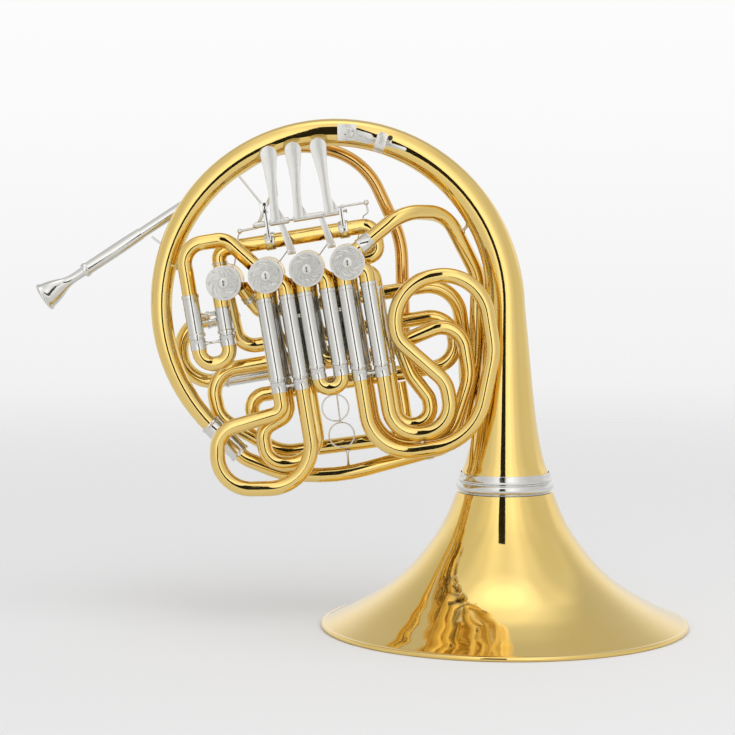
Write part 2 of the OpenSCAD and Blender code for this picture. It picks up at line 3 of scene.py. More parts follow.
import bmesh
import bpy
from bpy.props import FloatProperty, FloatVectorProperty, IntProperty, PointerProperty
from mathutils import Matrix, Vector


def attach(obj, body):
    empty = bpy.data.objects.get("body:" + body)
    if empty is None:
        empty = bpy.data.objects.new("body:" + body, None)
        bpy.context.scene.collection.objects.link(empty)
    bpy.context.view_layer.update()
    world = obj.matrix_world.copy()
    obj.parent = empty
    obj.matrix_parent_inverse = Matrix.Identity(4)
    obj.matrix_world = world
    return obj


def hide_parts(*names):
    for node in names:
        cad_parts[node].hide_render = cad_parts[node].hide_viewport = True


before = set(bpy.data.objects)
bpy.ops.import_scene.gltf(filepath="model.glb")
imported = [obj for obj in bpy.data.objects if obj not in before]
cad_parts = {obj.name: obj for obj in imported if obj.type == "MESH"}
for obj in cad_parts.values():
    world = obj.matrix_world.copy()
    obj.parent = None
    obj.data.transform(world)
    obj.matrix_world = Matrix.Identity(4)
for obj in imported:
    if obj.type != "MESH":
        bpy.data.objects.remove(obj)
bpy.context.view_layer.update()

bl_info = {
    "name": "Double French Horn",
    "version": (1, 0, 0),
    "blender": (4, 5, 0),
    "location": "View3D > Sidebar > Horn",
    "description": "Builds a four-valve double horn in lacquered brass and nickel silver, piece by piece",
    "category": "Object",
}

# Frames: the part's own millimetres, and the tilted row of valves
PART = Matrix.Scale(0.001, 4)
ROW_TILT = 9.3
ROW = Matrix.Translation((-0.166, 0.0, 0.303)) @ Matrix.Rotation(math.radians(-ROW_TILT), 4, "Y") @ PART

# Valve axes along the row, and the two tiers of slides
VALVE_X = (-34.0, 0.0, 34.0, -69.0)
FRONT_TIER = -30.0
BACK_TIER = -13.5
CASING_FRONT = -41.0
CASING_REAR = 9.0
LEVER_Y = -22.0
AXLE_Z = 42.0

# Routes as corners (x, y, z, bend radius), in millimetres in the row's frame
ROUTES = {
    "bottom_branch": [(42.5, -30, 8.5, 0), (86, -28.5, 33.5, 36), (121, -4, 27, 30), (140, 12, -30, 40),
                      (127.5, 14, -102, 60), (101, 12, -168, 30), (-5, 0, -178, 150), (-50, 0, -167.5, 60),
                      (-79.2, 0, -149.8, 25), (-84.1, 0, -143, 0)],
    "return_bend": [(42.5, 3, 8, 0), (86, 4, 33.5, 36), (123, 14, 25, 30), (145, 28, -42, 40),
                    (139, 28, -132, 11), (115, 26, -132, 11), (120.5, 26, -88, 30), (120.5, 14, -32, 28),
                    (-46, 12, -31, 9), (-57.5, 1, -7, 0)],
    "crossover": [(-72, -3, 8, 0), (-72, -3, 27, 9), (60, -16, 27, 10), (60, -17, 1.5, 8), (44, -17, 1.5, 0)],
    "hairpin": [(-71, 0.5, -8, 0), (-68, 12, -58, 16), (112, 12, -58, 20.5), (112, 12, -101, 20.5),
                (-66.5, 12, -100, 12), (-66.5, 12, -125, 0)],
    "tee": [(-79, 26, -31, 0), (-69.6, 26, -31, 8), (-69.6, 12, -31, 0)],
    "lower_circuit": [(60, 12, -108, 0), (60, 12, -155, 14), (-48, 12, -151.5, 35), (-95, 12, -114, 22),
                      (-97, 12, -74, 22), (14, 12, -74, 8), (14, 12, -64.5, 0)],
    "inlet_bend": [(-40, -18, 6, 0), (-63, -18, 35, 16), (-100, -18, 35, 17), (-100, -18, -6, 0)],
    "leadpipe": [(-142, 17, 47.6, 0), (-2, 18.5, 109, 83), (61.1, 20, 82.9, 60), (81.5, 25.5, 10, 80),
                 (68.5, 26, -83, 22), (-2, 26, -83, 0)],
    "slide_f1": [(-39, -30, -26, 0), (-39, -30, -114, 9), (-95, -30, -121, 20), (-104, -30, -169, 28),
                 (-20, -30, -181, 36), (-20, -30, -26, 0)],
    "slide_f2": [(-5, -30, -26, 0), (-5, -30, -100.5, 8.8), (14, -30, -100.5, 8.8), (14, -30, -26, 0)],
    "slide_f3": [(29, -30, -26, 0), (29, -30, -163, 36), (114, -30, -164.5, 50), (141.5, -30, -92, 60),
                 (141.5, -30, -23, 37), (64.5, -30, -23, 37), (64.5, -30, -70, 22), (98.7, -30, -111.5, 24),
                 (98.7, -30, -150.5, 24.5), (48, -30, -150.5, 24.5), (48, -30, -26, 0)],
    "slide_b1": [(-35, -13.5, -32, 0), (-35, -13.5, -118, 12), (-59.5, -13.5, -127, 12),
                 (-60, -13.5, -157, 17), (-15, -13.5, -162, 24), (-15, -13.5, -32, 0)],
    "slide_b2": [(-1, -13.5, -32, 0), (-1, -13.5, -78, 9.2), (19, -13.5, -78, 9.2), (19, -13.5, -32, 0)],
    "slide_b3": [(33, -13.5, -32, 0), (33, -13.5, -160.5, 33), (93, -13.5, -162, 30), (119, -13.5, -111, 40),
                 (119, -13.5, -61, 20), (65.2, -13.5, -74, 10), (71, -13.5, -102, 24), (82.5, -13.5, -123, 14),
                 (82.5, -13.5, -143.5, 14), (53, -13.5, -143.5, 14), (53, -13.5, -32, 0)],
    "slide_main": [(-100, -18, -18, 0), (-100, -18, -66, 11.8), (-75, -18, -66, 11.8), (-75, -18, -26, 0)],
    "slide_tuning_f": [(-30, 26, -83, 0), (-119, 26, -83, 25), (-119, 26, -31, 25), (-80.3, 26, -31, 0)],
}


# ---- sizes and finishes a user may change ----
class HornSizes(bpy.types.PropertyGroup):
    tube_radius: FloatProperty(name="Tube radius", description="Outside radius of the cylindrical tubing, in mm",
                               default=6.3, min=6.2, max=6.3)
    sleeve_radius: FloatProperty(name="Sleeve radius", description="Outside radius of the slide sleeves, in mm",
                                 default=6.8, min=6.7, max=6.8)
    rim_radius: FloatProperty(name="Bell rim radius", description="Outside radius of the rolled rim, in mm",
                              default=155.5, min=155.0, max=155.5)
    branch_radius: FloatProperty(name="Branch radius", description="Radius of the main branch's centre line, in mm",
                                 default=144.5, min=144.0, max=144.5)
    round_steps: IntProperty(name="Steps round a tube", description="Facets round each tube", default=32,
                             min=16, max=64)
    engraved_strokes: IntProperty(name="Engraved strokes", description="Curved strokes on each valve cap",
                                  default=15, min=5, max=24)


class HornFinish(bpy.types.PropertyGroup):
    brass: FloatVectorProperty(name="Lacquered brass", description="Colour of the polished yellow brass",
                               subtype="COLOR", size=3, min=0, max=1, default=(0.86, 0.635, 0.225))
    brass_deep: FloatVectorProperty(name="Brass, deeper", description="Where the lacquer lies a little thicker",
                                    subtype="COLOR", size=3, min=0, max=1, default=(0.84, 0.60, 0.185))
    nickel: FloatVectorProperty(name="Nickel silver", description="Colour of the polished nickel silver",
                                subtype="COLOR", size=3, min=0, max=1, default=(0.72, 0.71, 0.675))
    rose: FloatVectorProperty(name="Leadpipe brass", description="Colour of the redder leadpipe",
                              subtype="COLOR", size=3, min=0, max=1, default=(0.82, 0.50, 0.16))
    bronze: FloatVectorProperty(name="Rotor bronze", description="Colour of the machined rotors",
                                subtype="COLOR", size=3, min=0, max=1, default=(0.60, 0.42, 0.22))
    floor: FloatVectorProperty(name="Floor", description="Colour of the studio floor",
                               subtype="COLOR", size=3, min=0, max=1, default=(0.745, 0.745, 0.749))


def sizes():
    return bpy.context.scene.horn_sizes


def finish():
    return bpy.context.scene.horn_finish


# ---- materials ----
def metal(name, colour, deeper, rough, spread, grain, brushed=None):
    """Polished metal: colour drifts slowly over the piece, and fine wipe marks vary the gloss."""
    made = bpy.data.materials.get(name)
    if made:
        return made
    made = bpy.data.materials.new(name)
    made.use_nodes = True
    nodes, links = made.node_tree.nodes, made.node_tree.links
    shader = nodes["Principled BSDF"]
    shader.inputs["Metallic"].default_value = 1.0
    shader.inputs["Coat Weight"].default_value = 0.35
    shader.inputs["Coat Roughness"].default_value = 0.06
    shader.inputs["Coat IOR"].default_value = 1.45
    place = nodes.new("ShaderNodeTexCoord")
    drift = nodes.new("ShaderNodeTexNoise")
    drift.inputs["Scale"].default_value = 14.0
    drift.inputs["Detail"].default_value = 3.0
    links.new(place.outputs["Object"], drift.inputs["Vector"])
    tones = nodes.new("ShaderNodeValToRGB")
    tones.color_ramp.elements[0].position = 0.3
    tones.color_ramp.elements[0].color = (*deeper, 1)
    tones.color_ramp.elements[1].position = 0.7
    tones.color_ramp.elements[1].color = (*colour, 1)
    links.new(drift.outputs["Fac"], tones.inputs["Fac"])
    links.new(tones.outputs["Color"], shader.inputs["Base Color"])
    stretch = nodes.new("ShaderNodeMapping")
    stretch.inputs["Scale"].default_value = brushed or (1.0, 1.0, 1.0)
    links.new(place.outputs["Object"], stretch.inputs["Vector"])
    wipe = nodes.new("ShaderNodeTexNoise")
    wipe.inputs["Scale"].default_value = grain
    wipe.inputs["Detail"].default_value = 5.0
    wipe.inputs["Roughness"].default_value = 0.6
    links.new(stretch.outputs["Vector"], wipe.inputs["Vector"])
    gloss = nodes.new("ShaderNodeMapRange")
    gloss.inputs["From Min"].default_value = 0.3
    gloss.inputs["From Max"].default_value = 0.7
    gloss.inputs["To Min"].default_value = rough
    gloss.inputs["To Max"].default_value = rough + spread
    links.new(wipe.outputs["Fac"], gloss.inputs["Value"])
    links.new(gloss.outputs["Result"], shader.inputs["Roughness"])
    ripple = nodes.new("ShaderNodeBump")
    ripple.inputs["Strength"].default_value = 0.03
    ripple.inputs["Distance"].default_value = 0.0004
    links.new(wipe.outputs["Fac"], ripple.inputs["Height"])
    links.new(ripple.outputs["Normal"], shader.inputs["Normal"])
    return made


def brass():
    return metal("lacquered brass", finish().brass, finish().brass_deep, 0.035, 0.04, 160.0)


def nickel():
    tone = finish().nickel
    return metal("nickel silver", tone, [0.94 * c for c in tone], 0.10, 0.06, 220.0)


def satin_nickel():
    tone = [1.12 * c for c in finish().nickel]
    return metal("satin nickel", tone, [0.93 * c for c in tone], 0.34, 0.08, 700.0)


def rose_brass():
    tone = finish().rose
    return metal("leadpipe brass", tone, [0.93 * c for c in tone], 0.08, 0.05, 160.0)


def bronze():
    tone = finish().bronze
    return metal("rotor bronze", tone, [0.85 * c for c in tone], 0.22, 0.12, 400.0, (1, 0.1, 1))


def matte(name, colour, rough, scale, bump):
    """Cork or cord: grain in colour, gloss and surface. The black cork also paints the shade inside the screw slots."""
    made = bpy.data.materials.get(name)
    if made:
        return made
    made = bpy.data.materials.new(name)
    made.use_nodes = True
    nodes, links = made.node_tree.nodes, made.node_tree.links
    shader = nodes["Principled BSDF"]
    shader.inputs["Roughness"].default_value = rough
    place = nodes.new("ShaderNodeTexCoord")
    grain = nodes.new("ShaderNodeTexNoise")
    grain.inputs["Scale"].default_value = scale
    grain.inputs["Detail"].default_value = 4.0
    links.new(place.outputs["Object"], grain.inputs["Vector"])
    tones = nodes.new("ShaderNodeValToRGB")
    tones.color_ramp.elements[0].color = (*[0.6 * c for c in colour], 1)
    tones.color_ramp.elements[1].color = (*colour, 1)
    links.new(grain.outputs["Fac"], tones.inputs["Fac"])
    links.new(tones.outputs["Color"], shader.inputs["Base Color"])
    rough_skin = nodes.new("ShaderNodeBump")
    rough_skin.inputs["Strength"].default_value = bump
    rough_skin.inputs["Distance"].default_value = 0.0003
    links.new(grain.outputs["Fac"], rough_skin.inputs["Height"])
    links.new(rough_skin.outputs["Normal"], shader.inputs["Normal"])
    return made


# black cork for the bumpers and the stop bead; the same black also paints the shade inside the screw slots
def cork_and_slot_shade():
    return matte("bumper cork", (0.05, 0.045, 0.04), 0.8, 900.0, 0.6)


def waxed_cord():
    return matte("waxed cord", (0.78, 0.76, 0.7), 0.6, 2500.0, 0.8)


# ---- modelling helpers ----
def standing(origin, direction, across=None):
    """Matrix that stands +Z along direction at origin."""
    w = Vector(direction).normalized()
    if across is None:
        hint = Vector((1, 0, 0)) if abs(w.z) > 0.9 else Vector((0, 0, 1))
        u = hint.cross(w).normalized()
    else:
        u = Vector(across).normalized()
    v = w.cross(u)
    return Matrix.Translation(origin) @ Matrix((u, v, w)).transposed().to_4x4()


def rounded(points, parts=6):
    """A smooth curve through the points, for a profile or a table of sizes."""
    points = [Vector(p) for p in points]
    ends = [2 * points[0] - points[1]] + points + [2 * points[-1] - points[-2]]
    curve = []
    for i in range(1, len(ends) - 2):
        a, b, c, d = ends[i - 1:i + 3]
        for k in range(parts):
            t = k / parts
            curve.append(0.5 * (2 * b + (c - a) * t + (2 * a - 5 * b + 4 * c - d) * t * t
                                + (3 * b - a - 3 * c + d) * t ** 3))
    return curve + [points[-1]]


def looked_up(table, x):
    """Size at x in a table of (x, size)."""
    for (x0, s0), (x1, s1) in zip(table, table[1:]):
        if x <= x1:
            return s0 + (s1 - s0) * (x - x0) / (x1 - x0)
    return table[-1][1]


def ring_edges(verts):
    found = set(verts)
    return [e for e in {e for v in verts for e in v.link_edges} if e.verts[0] in found and e.verts[1] in found]


def pushed(bm, edges, move, centre=None, growth=1.0):
    """Extrudes a ring of edges, moves the new ring, and scales it about its centre."""
    made = bmesh.ops.extrude_edge_only(bm, edges=edges)["geom"]
    verts = [g for g in made if isinstance(g, bmesh.types.BMVert)]
    bmesh.ops.transform(bm, matrix=move, verts=verts)
    if abs(growth - 1.0) > 1e-6:
        bmesh.ops.scale(bm, vec=(growth,) * 3, space=Matrix.Translation(-centre), verts=verts)
    return ring_edges(verts)


def tube_steps(corners, step):
    """Walks a route: yields (matrix that moves the ring on, the ring's new centre, length gained)."""
    points = [Vector(c[:3]) for c in corners]
    ways = [(b - a).normalized() for a, b in zip(points, points[1:])]
    bends = [0.0] + [ways[i - 1].angle(ways[i]) for i in range(1, len(ways))] + [0.0]
    cuts = [c[3] * math.tan(bend / 2) if bend > 1e-4 else 0.0 for c, bend in zip(corners, bends)]
    at = points[0]
    for i, way in enumerate(ways):
        run = (points[i + 1] - points[i]).length - cuts[i] - cuts[i + 1]
        parts = max(1, math.ceil(run / 14.0))
        for _ in range(parts):
            at = at + way * run / parts
            yield Matrix.Translation(way * run / parts), at, run / parts
        if cuts[i + 1]:
            axis = way.cross(ways[i + 1]).normalized()
            radius = corners[i + 1][3]
            centre = at + axis.cross(way) * radius
            parts = max(2, math.ceil(math.degrees(bends[i + 1]) / step))
            turn = Matrix.Rotation(bends[i + 1] / parts, 4, axis)
            about = Matrix.Translation(centre) @ turn @ Matrix.Translation(-centre)
            for _ in range(parts):
                at = about @ at
                yield about, at, radius * bends[i + 1] / parts


def route_length(corners):
    return sum(gain for _, _, gain in tube_steps(corners, 6.0))


def draw_tube(bm, corners, radius, sides=None, step=6.0, caps=True):
    """A round tube along a route. radius is a number, or a function of the length so far."""
    sides = sides or sizes().round_steps
    size = radius if callable(radius) else lambda gone: radius
    points = [Vector(c[:3]) for c in corners[:2]]
    ring = bmesh.ops.create_circle(bm, cap_ends=caps, segments=sides, radius=size(0.0),
                                   matrix=standing(points[0], points[1] - points[0]))["verts"]
    first = edges = ring_edges(ring)
    gone, now = 0.0, size(0.0)
    for move, at, gain in tube_steps(corners, step):
        gone += gain
        edges = pushed(bm, edges, move, at, size(gone) / now)
        now = size(gone)
    if caps:
        bmesh.ops.contextual_create(bm, geom=edges)
    return first, edges


def turn_profile(bm, profile, stand=None, steps=64, closed=True):
    """Spins a profile of (radius, height) round +Z, then stands it in place."""
    verts = [bm.verts.new((p[0], 0.0, p[1])) for p in profile]
    edges = [bm.edges.new(pair) for pair in zip(verts, verts[1:])]
    if closed:
        edges.append(bm.edges.new((verts[-1], verts[0])))
    before = set(bm.verts) - set(verts)
    bmesh.ops.spin(bm, geom=verts + edges, cent=(0, 0, 0), axis=(0, 0, 1), angle=2 * math.pi, steps=steps,
                   use_merge=True)
    made = [v for v in bm.verts if v not in before]
    if any(p[0] < 1e-6 for p in profile):
        bmesh.ops.remove_doubles(bm, verts=made, dist=1e-5)
        made = [v for v in bm.verts if v not in before]
    if stand is not None:
        bmesh.ops.transform(bm, matrix=stand, verts=made)
    return made


def pin(bm, a, b, radius, radius2=None, sides=20):
    """A straight rod from a to b."""
    a, b = Vector(a), Vector(b)
    middle = standing((a + b) / 2, b - a)
    return bmesh.ops.create_cone(bm, cap_ends=True, segments=sides, radius1=radius,
                                 radius2=radius if radius2 is None else radius2, depth=(b - a).length,
                                 matrix=middle)["verts"]


def ball(bm, centre, radius):
    return bmesh.ops.create_uvsphere(bm, u_segments=24, v_segments=16, radius=radius,
                                     matrix=Matrix.Translation(centre))["verts"]


def spool(bm, a, b, waist, flare):
    """A cross brace: a waisted pin with a flared foot at each end."""
    a, b = Vector(a), Vector(b)
    n = (b - a).length
    foot = min(0.3 * n, 2.2)
    turn_profile(bm, [(0, 0), (flare, 0), (0.8 * flare + 0.2 * waist, 0.35 * foot), (waist, foot),
                      (waist, n - foot), (0.8 * flare + 0.2 * waist, n - 0.35 * foot), (flare, n), (0, n)],
                 standing(a, b - a), steps=24, closed=False)


def plate(bm, outline, thickness, stand, bevel=0.3):
    """A flat plate with softened edges, from an outline in its own X and Y."""
    face = bm.faces.new([bm.verts.new((x, y, 0.0)) for x, y in outline])
    made = bmesh.ops.extrude_face_region(bm, geom=[face])["geom"]
    top = [g for g in made if isinstance(g, bmesh.types.BMVert)]
    bmesh.ops.translate(bm, vec=(0, 0, thickness), verts=top)
    verts = list(face.verts) + top
    if bevel:
        rims = [e for e in ring_edges(verts) if abs(e.verts[0].co.z - e.verts[1].co.z) < 1e-6]
        made = bmesh.ops.bevel(bm, geom=rims, offset=bevel, offset_type="OFFSET", affect="EDGES", segments=2,
                               profile=0.5, material=-1)
        verts = list({v for v in verts if v.is_valid} | set(made["verts"]))
    bmesh.ops.transform(bm, matrix=stand, verts=verts)
    return verts


def block(bm, low, high, bevel=0.25):
    """A box with softened edges."""
    low, high = Vector(low), Vector(high)
    size = high - low
    verts = bmesh.ops.create_cube(bm, size=1.0, matrix=Matrix.Translation((low + high) / 2)
                                  @ Matrix.Diagonal((*size, 1)))["verts"]
    bmesh.ops.bevel(bm, geom=ring_edges(verts), offset=bevel, offset_type="OFFSET", affect="EDGES", segments=2,
                    profile=0.5, material=-1)


def wire_ring(bm, centre, normal, radius, thick, steps=56, across=None):
    """A closed ring of round wire."""
    turn_profile(bm, [(radius + thick * math.cos(a), thick * math.sin(a))
                      for a in (math.tau * k / 12 for k in range(12))], standing(centre, normal, across), steps)


def arc(centre, radius, start, end, count):
    """Points of an arc, in degrees."""
    turns = [math.radians(start + (end - start) * k / (count - 1)) for k in range(count)]
    return [(centre[0] + radius * math.cos(t), centre[1] + radius * math.sin(t)) for t in turns]


def finished(name, bm, body, material, slot, *nodes, frame_of=ROW):
    """Turns the mesh into a piece that rides a body, takes a finish, and stands for CAD nodes."""
    bmesh.ops.transform(bm, matrix=frame_of, verts=bm.verts)
    bmesh.ops.recalc_face_normals(bm, faces=bm.faces)
    for face in bm.faces:
        face.smooth = True
    for edge in bm.edges:
        if len(edge.link_faces) == 2 and edge.calc_face_angle() > math.radians(38):
            edge.smooth = False
    mesh = bpy.data.meshes.new(name)
    bm.to_mesh(mesh)
    bm.free()
    mesh.materials.append(material)
    piece = bpy.data.objects.new(name, mesh)
    bpy.context.scene.collection.objects.link(piece)
    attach(piece, body)
    if nodes:
        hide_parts(*nodes)
    return piece


def brass_piece(name, bm, body, *nodes, **kw):
    return finished(name, bm, body, brass(), "lacquered_brass", *nodes, **kw)


def nickel_piece(name, bm, body, *nodes, **kw):
    return finished(name, bm, body, nickel(), "nickel_silver", *nodes, **kw)


# ---- stage ----
FLAG_WIDTH = 0.26


def world_light():
    """Studio surround: a white sweep in front and overhead, dimmer flanks and rear, and a plain backdrop."""
    world = bpy.data.worlds.new("studio")
    bpy.context.scene.world = world
    world.use_nodes = True
    nodes, links = world.node_tree.nodes, world.node_tree.links
    nodes.clear()
    place = nodes.new("ShaderNodeTexCoord")
    split = nodes.new("ShaderNodeSeparateXYZ")
    links.new(place.outputs["Generated"], split.inputs[0])

    def maths(kind, a, b=None, c=None):
        node = nodes.new("ShaderNodeMath")
        node.operation = kind
        for socket, value in zip(node.inputs, (a, b, c)):
            if isinstance(value, (int, float)):
                socket.default_value = value
            elif value is not None:
                links.new(value, socket)
        return node.outputs[0]

    def ramp(value, stops, mode="EASE"):
        node = nodes.new("ShaderNodeValToRGB")
        node.color_ramp.interpolation = mode
        while len(node.color_ramp.elements) < len(stops):
            node.color_ramp.elements.new(0.5)
        for element, (at, level) in zip(node.color_ramp.elements, stops):
            element.position = at
            element.color = (level, level, level, 1)
        links.new(value, node.inputs["Fac"])
        return node.outputs["Color"]

    x, y, z = split.outputs
    sideways = maths("ABSOLUTE", x)
    front = ramp(sideways, [(0.0, 0.80), (0.22, 0.90), (0.40, 0.74), (0.60, 0.56), (0.85, 0.46), (1.0, 0.48)])
    behind = ramp(maths("ADD", maths("MULTIPLY", y, 0.5), 0.5), [(0.0, 0.0), (0.60, 0.0), (0.74, 1.0), (1.0, 1.0)])
    height = maths("ADD", maths("MULTIPLY", z, 0.5), 0.5)
    rear = ramp(height, [(0.0, 0.5), (0.5, 0.52), (0.62, 0.62), (0.8, 0.40), (1.0, 0.50)])
    blend = nodes.new("ShaderNodeMix")
    blend.data_type = "FLOAT"
    links.new(behind, blend.inputs[0])
    links.new(front, blend.inputs[2])
    links.new(rear, blend.inputs[3])
    # the ceiling is dimmer, with one soft lamp straight overhead
    overhead = ramp(height, [(0.0, 1.0), (0.78, 1.0), (0.90, 0.86), (0.965, 0.80), (0.985, 0.95), (1.0, 1.25)])
    studio = maths("MULTIPLY", blend.outputs[0], overhead)
    backdrop = ramp(height, [(0.43, 0.82), (0.455, 0.88), (0.5, 0.94), (0.54, 0.98), (1.0, 0.98)], "LINEAR")
    lit = nodes.new("ShaderNodeBackground")
    links.new(maths("MULTIPLY", studio, 1.6), lit.inputs["Color"])
    plain = nodes.new("ShaderNodeBackground")
    links.new(backdrop, plain.inputs["Color"])
    which = nodes.new("ShaderNodeLightPath")
    choose = nodes.new("ShaderNodeMixShader")
    links.new(which.outputs["Is Camera Ray"], choose.inputs["Fac"])
    links.new(lit.outputs[0], choose.inputs[1])
    links.new(plain.outputs[0], choose.inputs[2])
    out = nodes.new("ShaderNodeOutputWorld")
    links.new(choose.outputs[0], out.inputs["Surface"])


def floor_material():
    """Pale floor that fades out towards its edge, so no horizon line shows."""
    made = bpy.data.materials.new("studio floor")
    made.use_nodes = True
    nodes, links = made.node_tree.nodes, made.node_tree.links
    shader = nodes["Principled BSDF"]
    shader.inputs["Roughness"].default_value = 0.9
    shader.inputs["Specular IOR Level"].default_value = 0.1
    shader.inputs["Base Color"].default_value = (*finish().floor, 1)
    place = nodes.new("ShaderNodeTexCoord")
    length = nodes.new("ShaderNodeVectorMath")
    length.operation = "LENGTH"
    links.new(place.outputs["Object"], length.inputs[0])
    fade = nodes.new("ShaderNodeMapRange")
    fade.interpolation_type = "SMOOTHSTEP"
    fade.inputs["From Min"].default_value = 0.35
    fade.inputs["From Max"].default_value = 2.6
    fade.inputs["To Min"].default_value = 1.0
    fade.inputs["To Max"].default_value = 0.0
    links.new(length.outputs["Value"], fade.inputs["Value"])
    links.new(fade.outputs["Result"], shader.inputs["Alpha"])
    return made


class HORN_OT_stage(bpy.types.Operator):
    """Camera, floor and soft studio light"""
    bl_idname = "horn.stage"
    bl_label = "Studio"

    def execute(self, context):
        lens = bpy.data.cameras.new("camera")
        lens.lens = 112.0
        lens.sensor_width = 36.0
        lens.clip_start = 0.05
        camera = bpy.data.objects.new("camera", lens)
        context.scene.collection.objects.link(camera)
        camera.location = (-0.116, -1.918, 0.369)
        aim = Vector((-0.116, 0.0, 0.219)) - camera.location
        camera.rotation_euler = aim.to_track_quat("-Z", "Y").to_euler()
        context.scene.camera = camera
        context.scene.view_settings.view_transform = "Standard"
        bm = bmesh.new()
        bmesh.ops.create_circle(bm, cap_ends=True, segments=96, radius=10.0)
        mesh = bpy.data.meshes.new("floor")
        bm.to_mesh(mesh)
        bm.free()
        mesh.materials.append(floor_material())
        floor = bpy.data.objects.new("floor", mesh)
        context.scene.collection.objects.link(floor)
        world_light()
        # a narrow black flag in front of the horn, unseen by the camera, draws the dark line down every tube
        bm = bmesh.new()
        bmesh.ops.create_grid(bm, x_segments=1, y_segments=1, size=0.5)
        bmesh.ops.scale(bm, vec=(FLAG_WIDTH, 1.4, 1), verts=bm.verts)
        bmesh.ops.transform(bm, matrix=Matrix.Translation((-0.16, -0.95, 0.73))
                            @ Matrix.Rotation(math.radians(90), 4, "X"), verts=bm.verts)
        mesh = bpy.data.meshes.new("flag")
        bm.to_mesh(mesh)
        bm.free()
        mesh.materials.append(matte("black felt", (0.01, 0.01, 0.01), 1.0, 200.0, 0.1))
        flag = bpy.data.objects.new("flag", mesh)
        context.scene.collection.objects.link(flag)
        flag.visible_camera = False
        flag.visible_diffuse = False
        flag.visible_shadow = False
        lamp = bpy.data.lights.new("overhead panel", "AREA")
        lamp.shape = "RECTANGLE"
        lamp.size, lamp.size_y = 1.6, 1.0
        lamp.energy = 10.0
        panel = bpy.data.objects.new("overhead panel", lamp)
        context.scene.collection.objects.link(panel)
        panel.visible_glossy = False
        panel.location = (0.5, -0.9, 1.9)
        panel.rotation_euler = (Vector((-0.1, 0, 0.2)) - panel.location).to_track_quat("-Z", "Y").to_euler()
        return {"FINISHED"}


# ---- bell ----
# Outside of the flare: radius against height
FLARE = [(38.6, 114.6), (40.7, 114.4), (41.7, 112), (43.5, 107), (45.5, 102), (47.6, 97), (49.9, 92), (52.4, 87),
         (55.3, 82), (58.4, 77), (61.9, 72), (66, 66.5), (70.2, 61), (74.7, 55.5), (79.6, 50), (85.2, 44.5),
         (91.5, 39), (98.6, 33.5), (106.8, 28), (116.5, 22), (127, 16.2), (137, 11), (146.5, 6.5), (152.3, 3.75)]
# Outside radius up the tail, and round the branch
TAIL = [(124.5, 37.1), (131, 36.6), (137.4, 33.9), (150, 30.6), (162.5, 28.2), (175, 26.3), (187.7, 24.7),
        (200, 23.3), (213, 22), (225, 20.8), (238, 19.6), (250, 18.4), (262, 17.2), (271.5, 16.3)]
BRANCH = [(0, 16.3), (15, 15), (30, 14.1), (45, 13.3), (60, 12.6), (75, 12), (90, 11.4), (105, 11.1),
          (120, 10.8), (135, 10.5), (150, 10), (165, 9.5), (180, 9), (195, 8.6), (210, 8), (225, 7.4)]
TAIL_TOP = 271.5
BRANCH_END = 225.0


class HORN_OT_bell(bpy.types.Operator):
    """Flare with its rolled rim, and the two screw rings"""
    bl_idname = "horn.bell"
    bl_label = "Bell"

    def execute(self, context):
        rim = sizes().rim_radius - 2.0
        outer = [Vector(p) for p in FLARE[:2]] + rounded(FLARE[2:], 5)
        inner = []
        for i in range(len(outer) - 1, 2, -1):
            along = (outer[i] - outer[i - 1]).normalized()
            inner.append(outer[i] - Vector((-along.y, along.x)) * 0.45 * (1 if along.x > 0 else -1))
        bead = arc((rim, 1.85), 2.0, 112, -67, 12) + arc((rim, 1.85), 2.0, -113, -204, 7)
        profile = [(38.6, 123.9)] + outer + bead + inner + [(40.1, 113.8), (38.05, 114.0), (38.05, 123.9)]
        bm = bmesh.new()
        turn_profile(bm, profile, steps=144)
        brass_piece("bell_flare_sheet", bm, "bell", "bell_flare", frame_of=PART)
        bm = bmesh.new()
        turn_profile(bm, [(38.65, 114.6), (39.4, 114.7)] + arc((36.9, 119.2), 4.1, -65, 62, 17)
                     + [(39.0, 123.2), (38.9, 123.9), (38.65, 124.0)], steps=128)
        nickel_piece("bell_screw_ring_lower", bm, "bell", "bell_ring_lower", frame_of=PART)
        bm = bmesh.new()
        turn_profile(bm, [(37.2, 116), (38, 116), (38, 124.15), (39.2, 124.15), (39.5, 124.5), (39.5, 125.3),
                          (39.0, 125.9), (38.5, 126.6), (38.3, 129.4), (38.0, 130.6), (37.7, 131), (37.2, 131)],
                     steps=128)
        nickel_piece("bell_screw_ring_upper", bm, "horn", "bell_ring_upper", frame_of=PART)
        return {"FINISHED"}


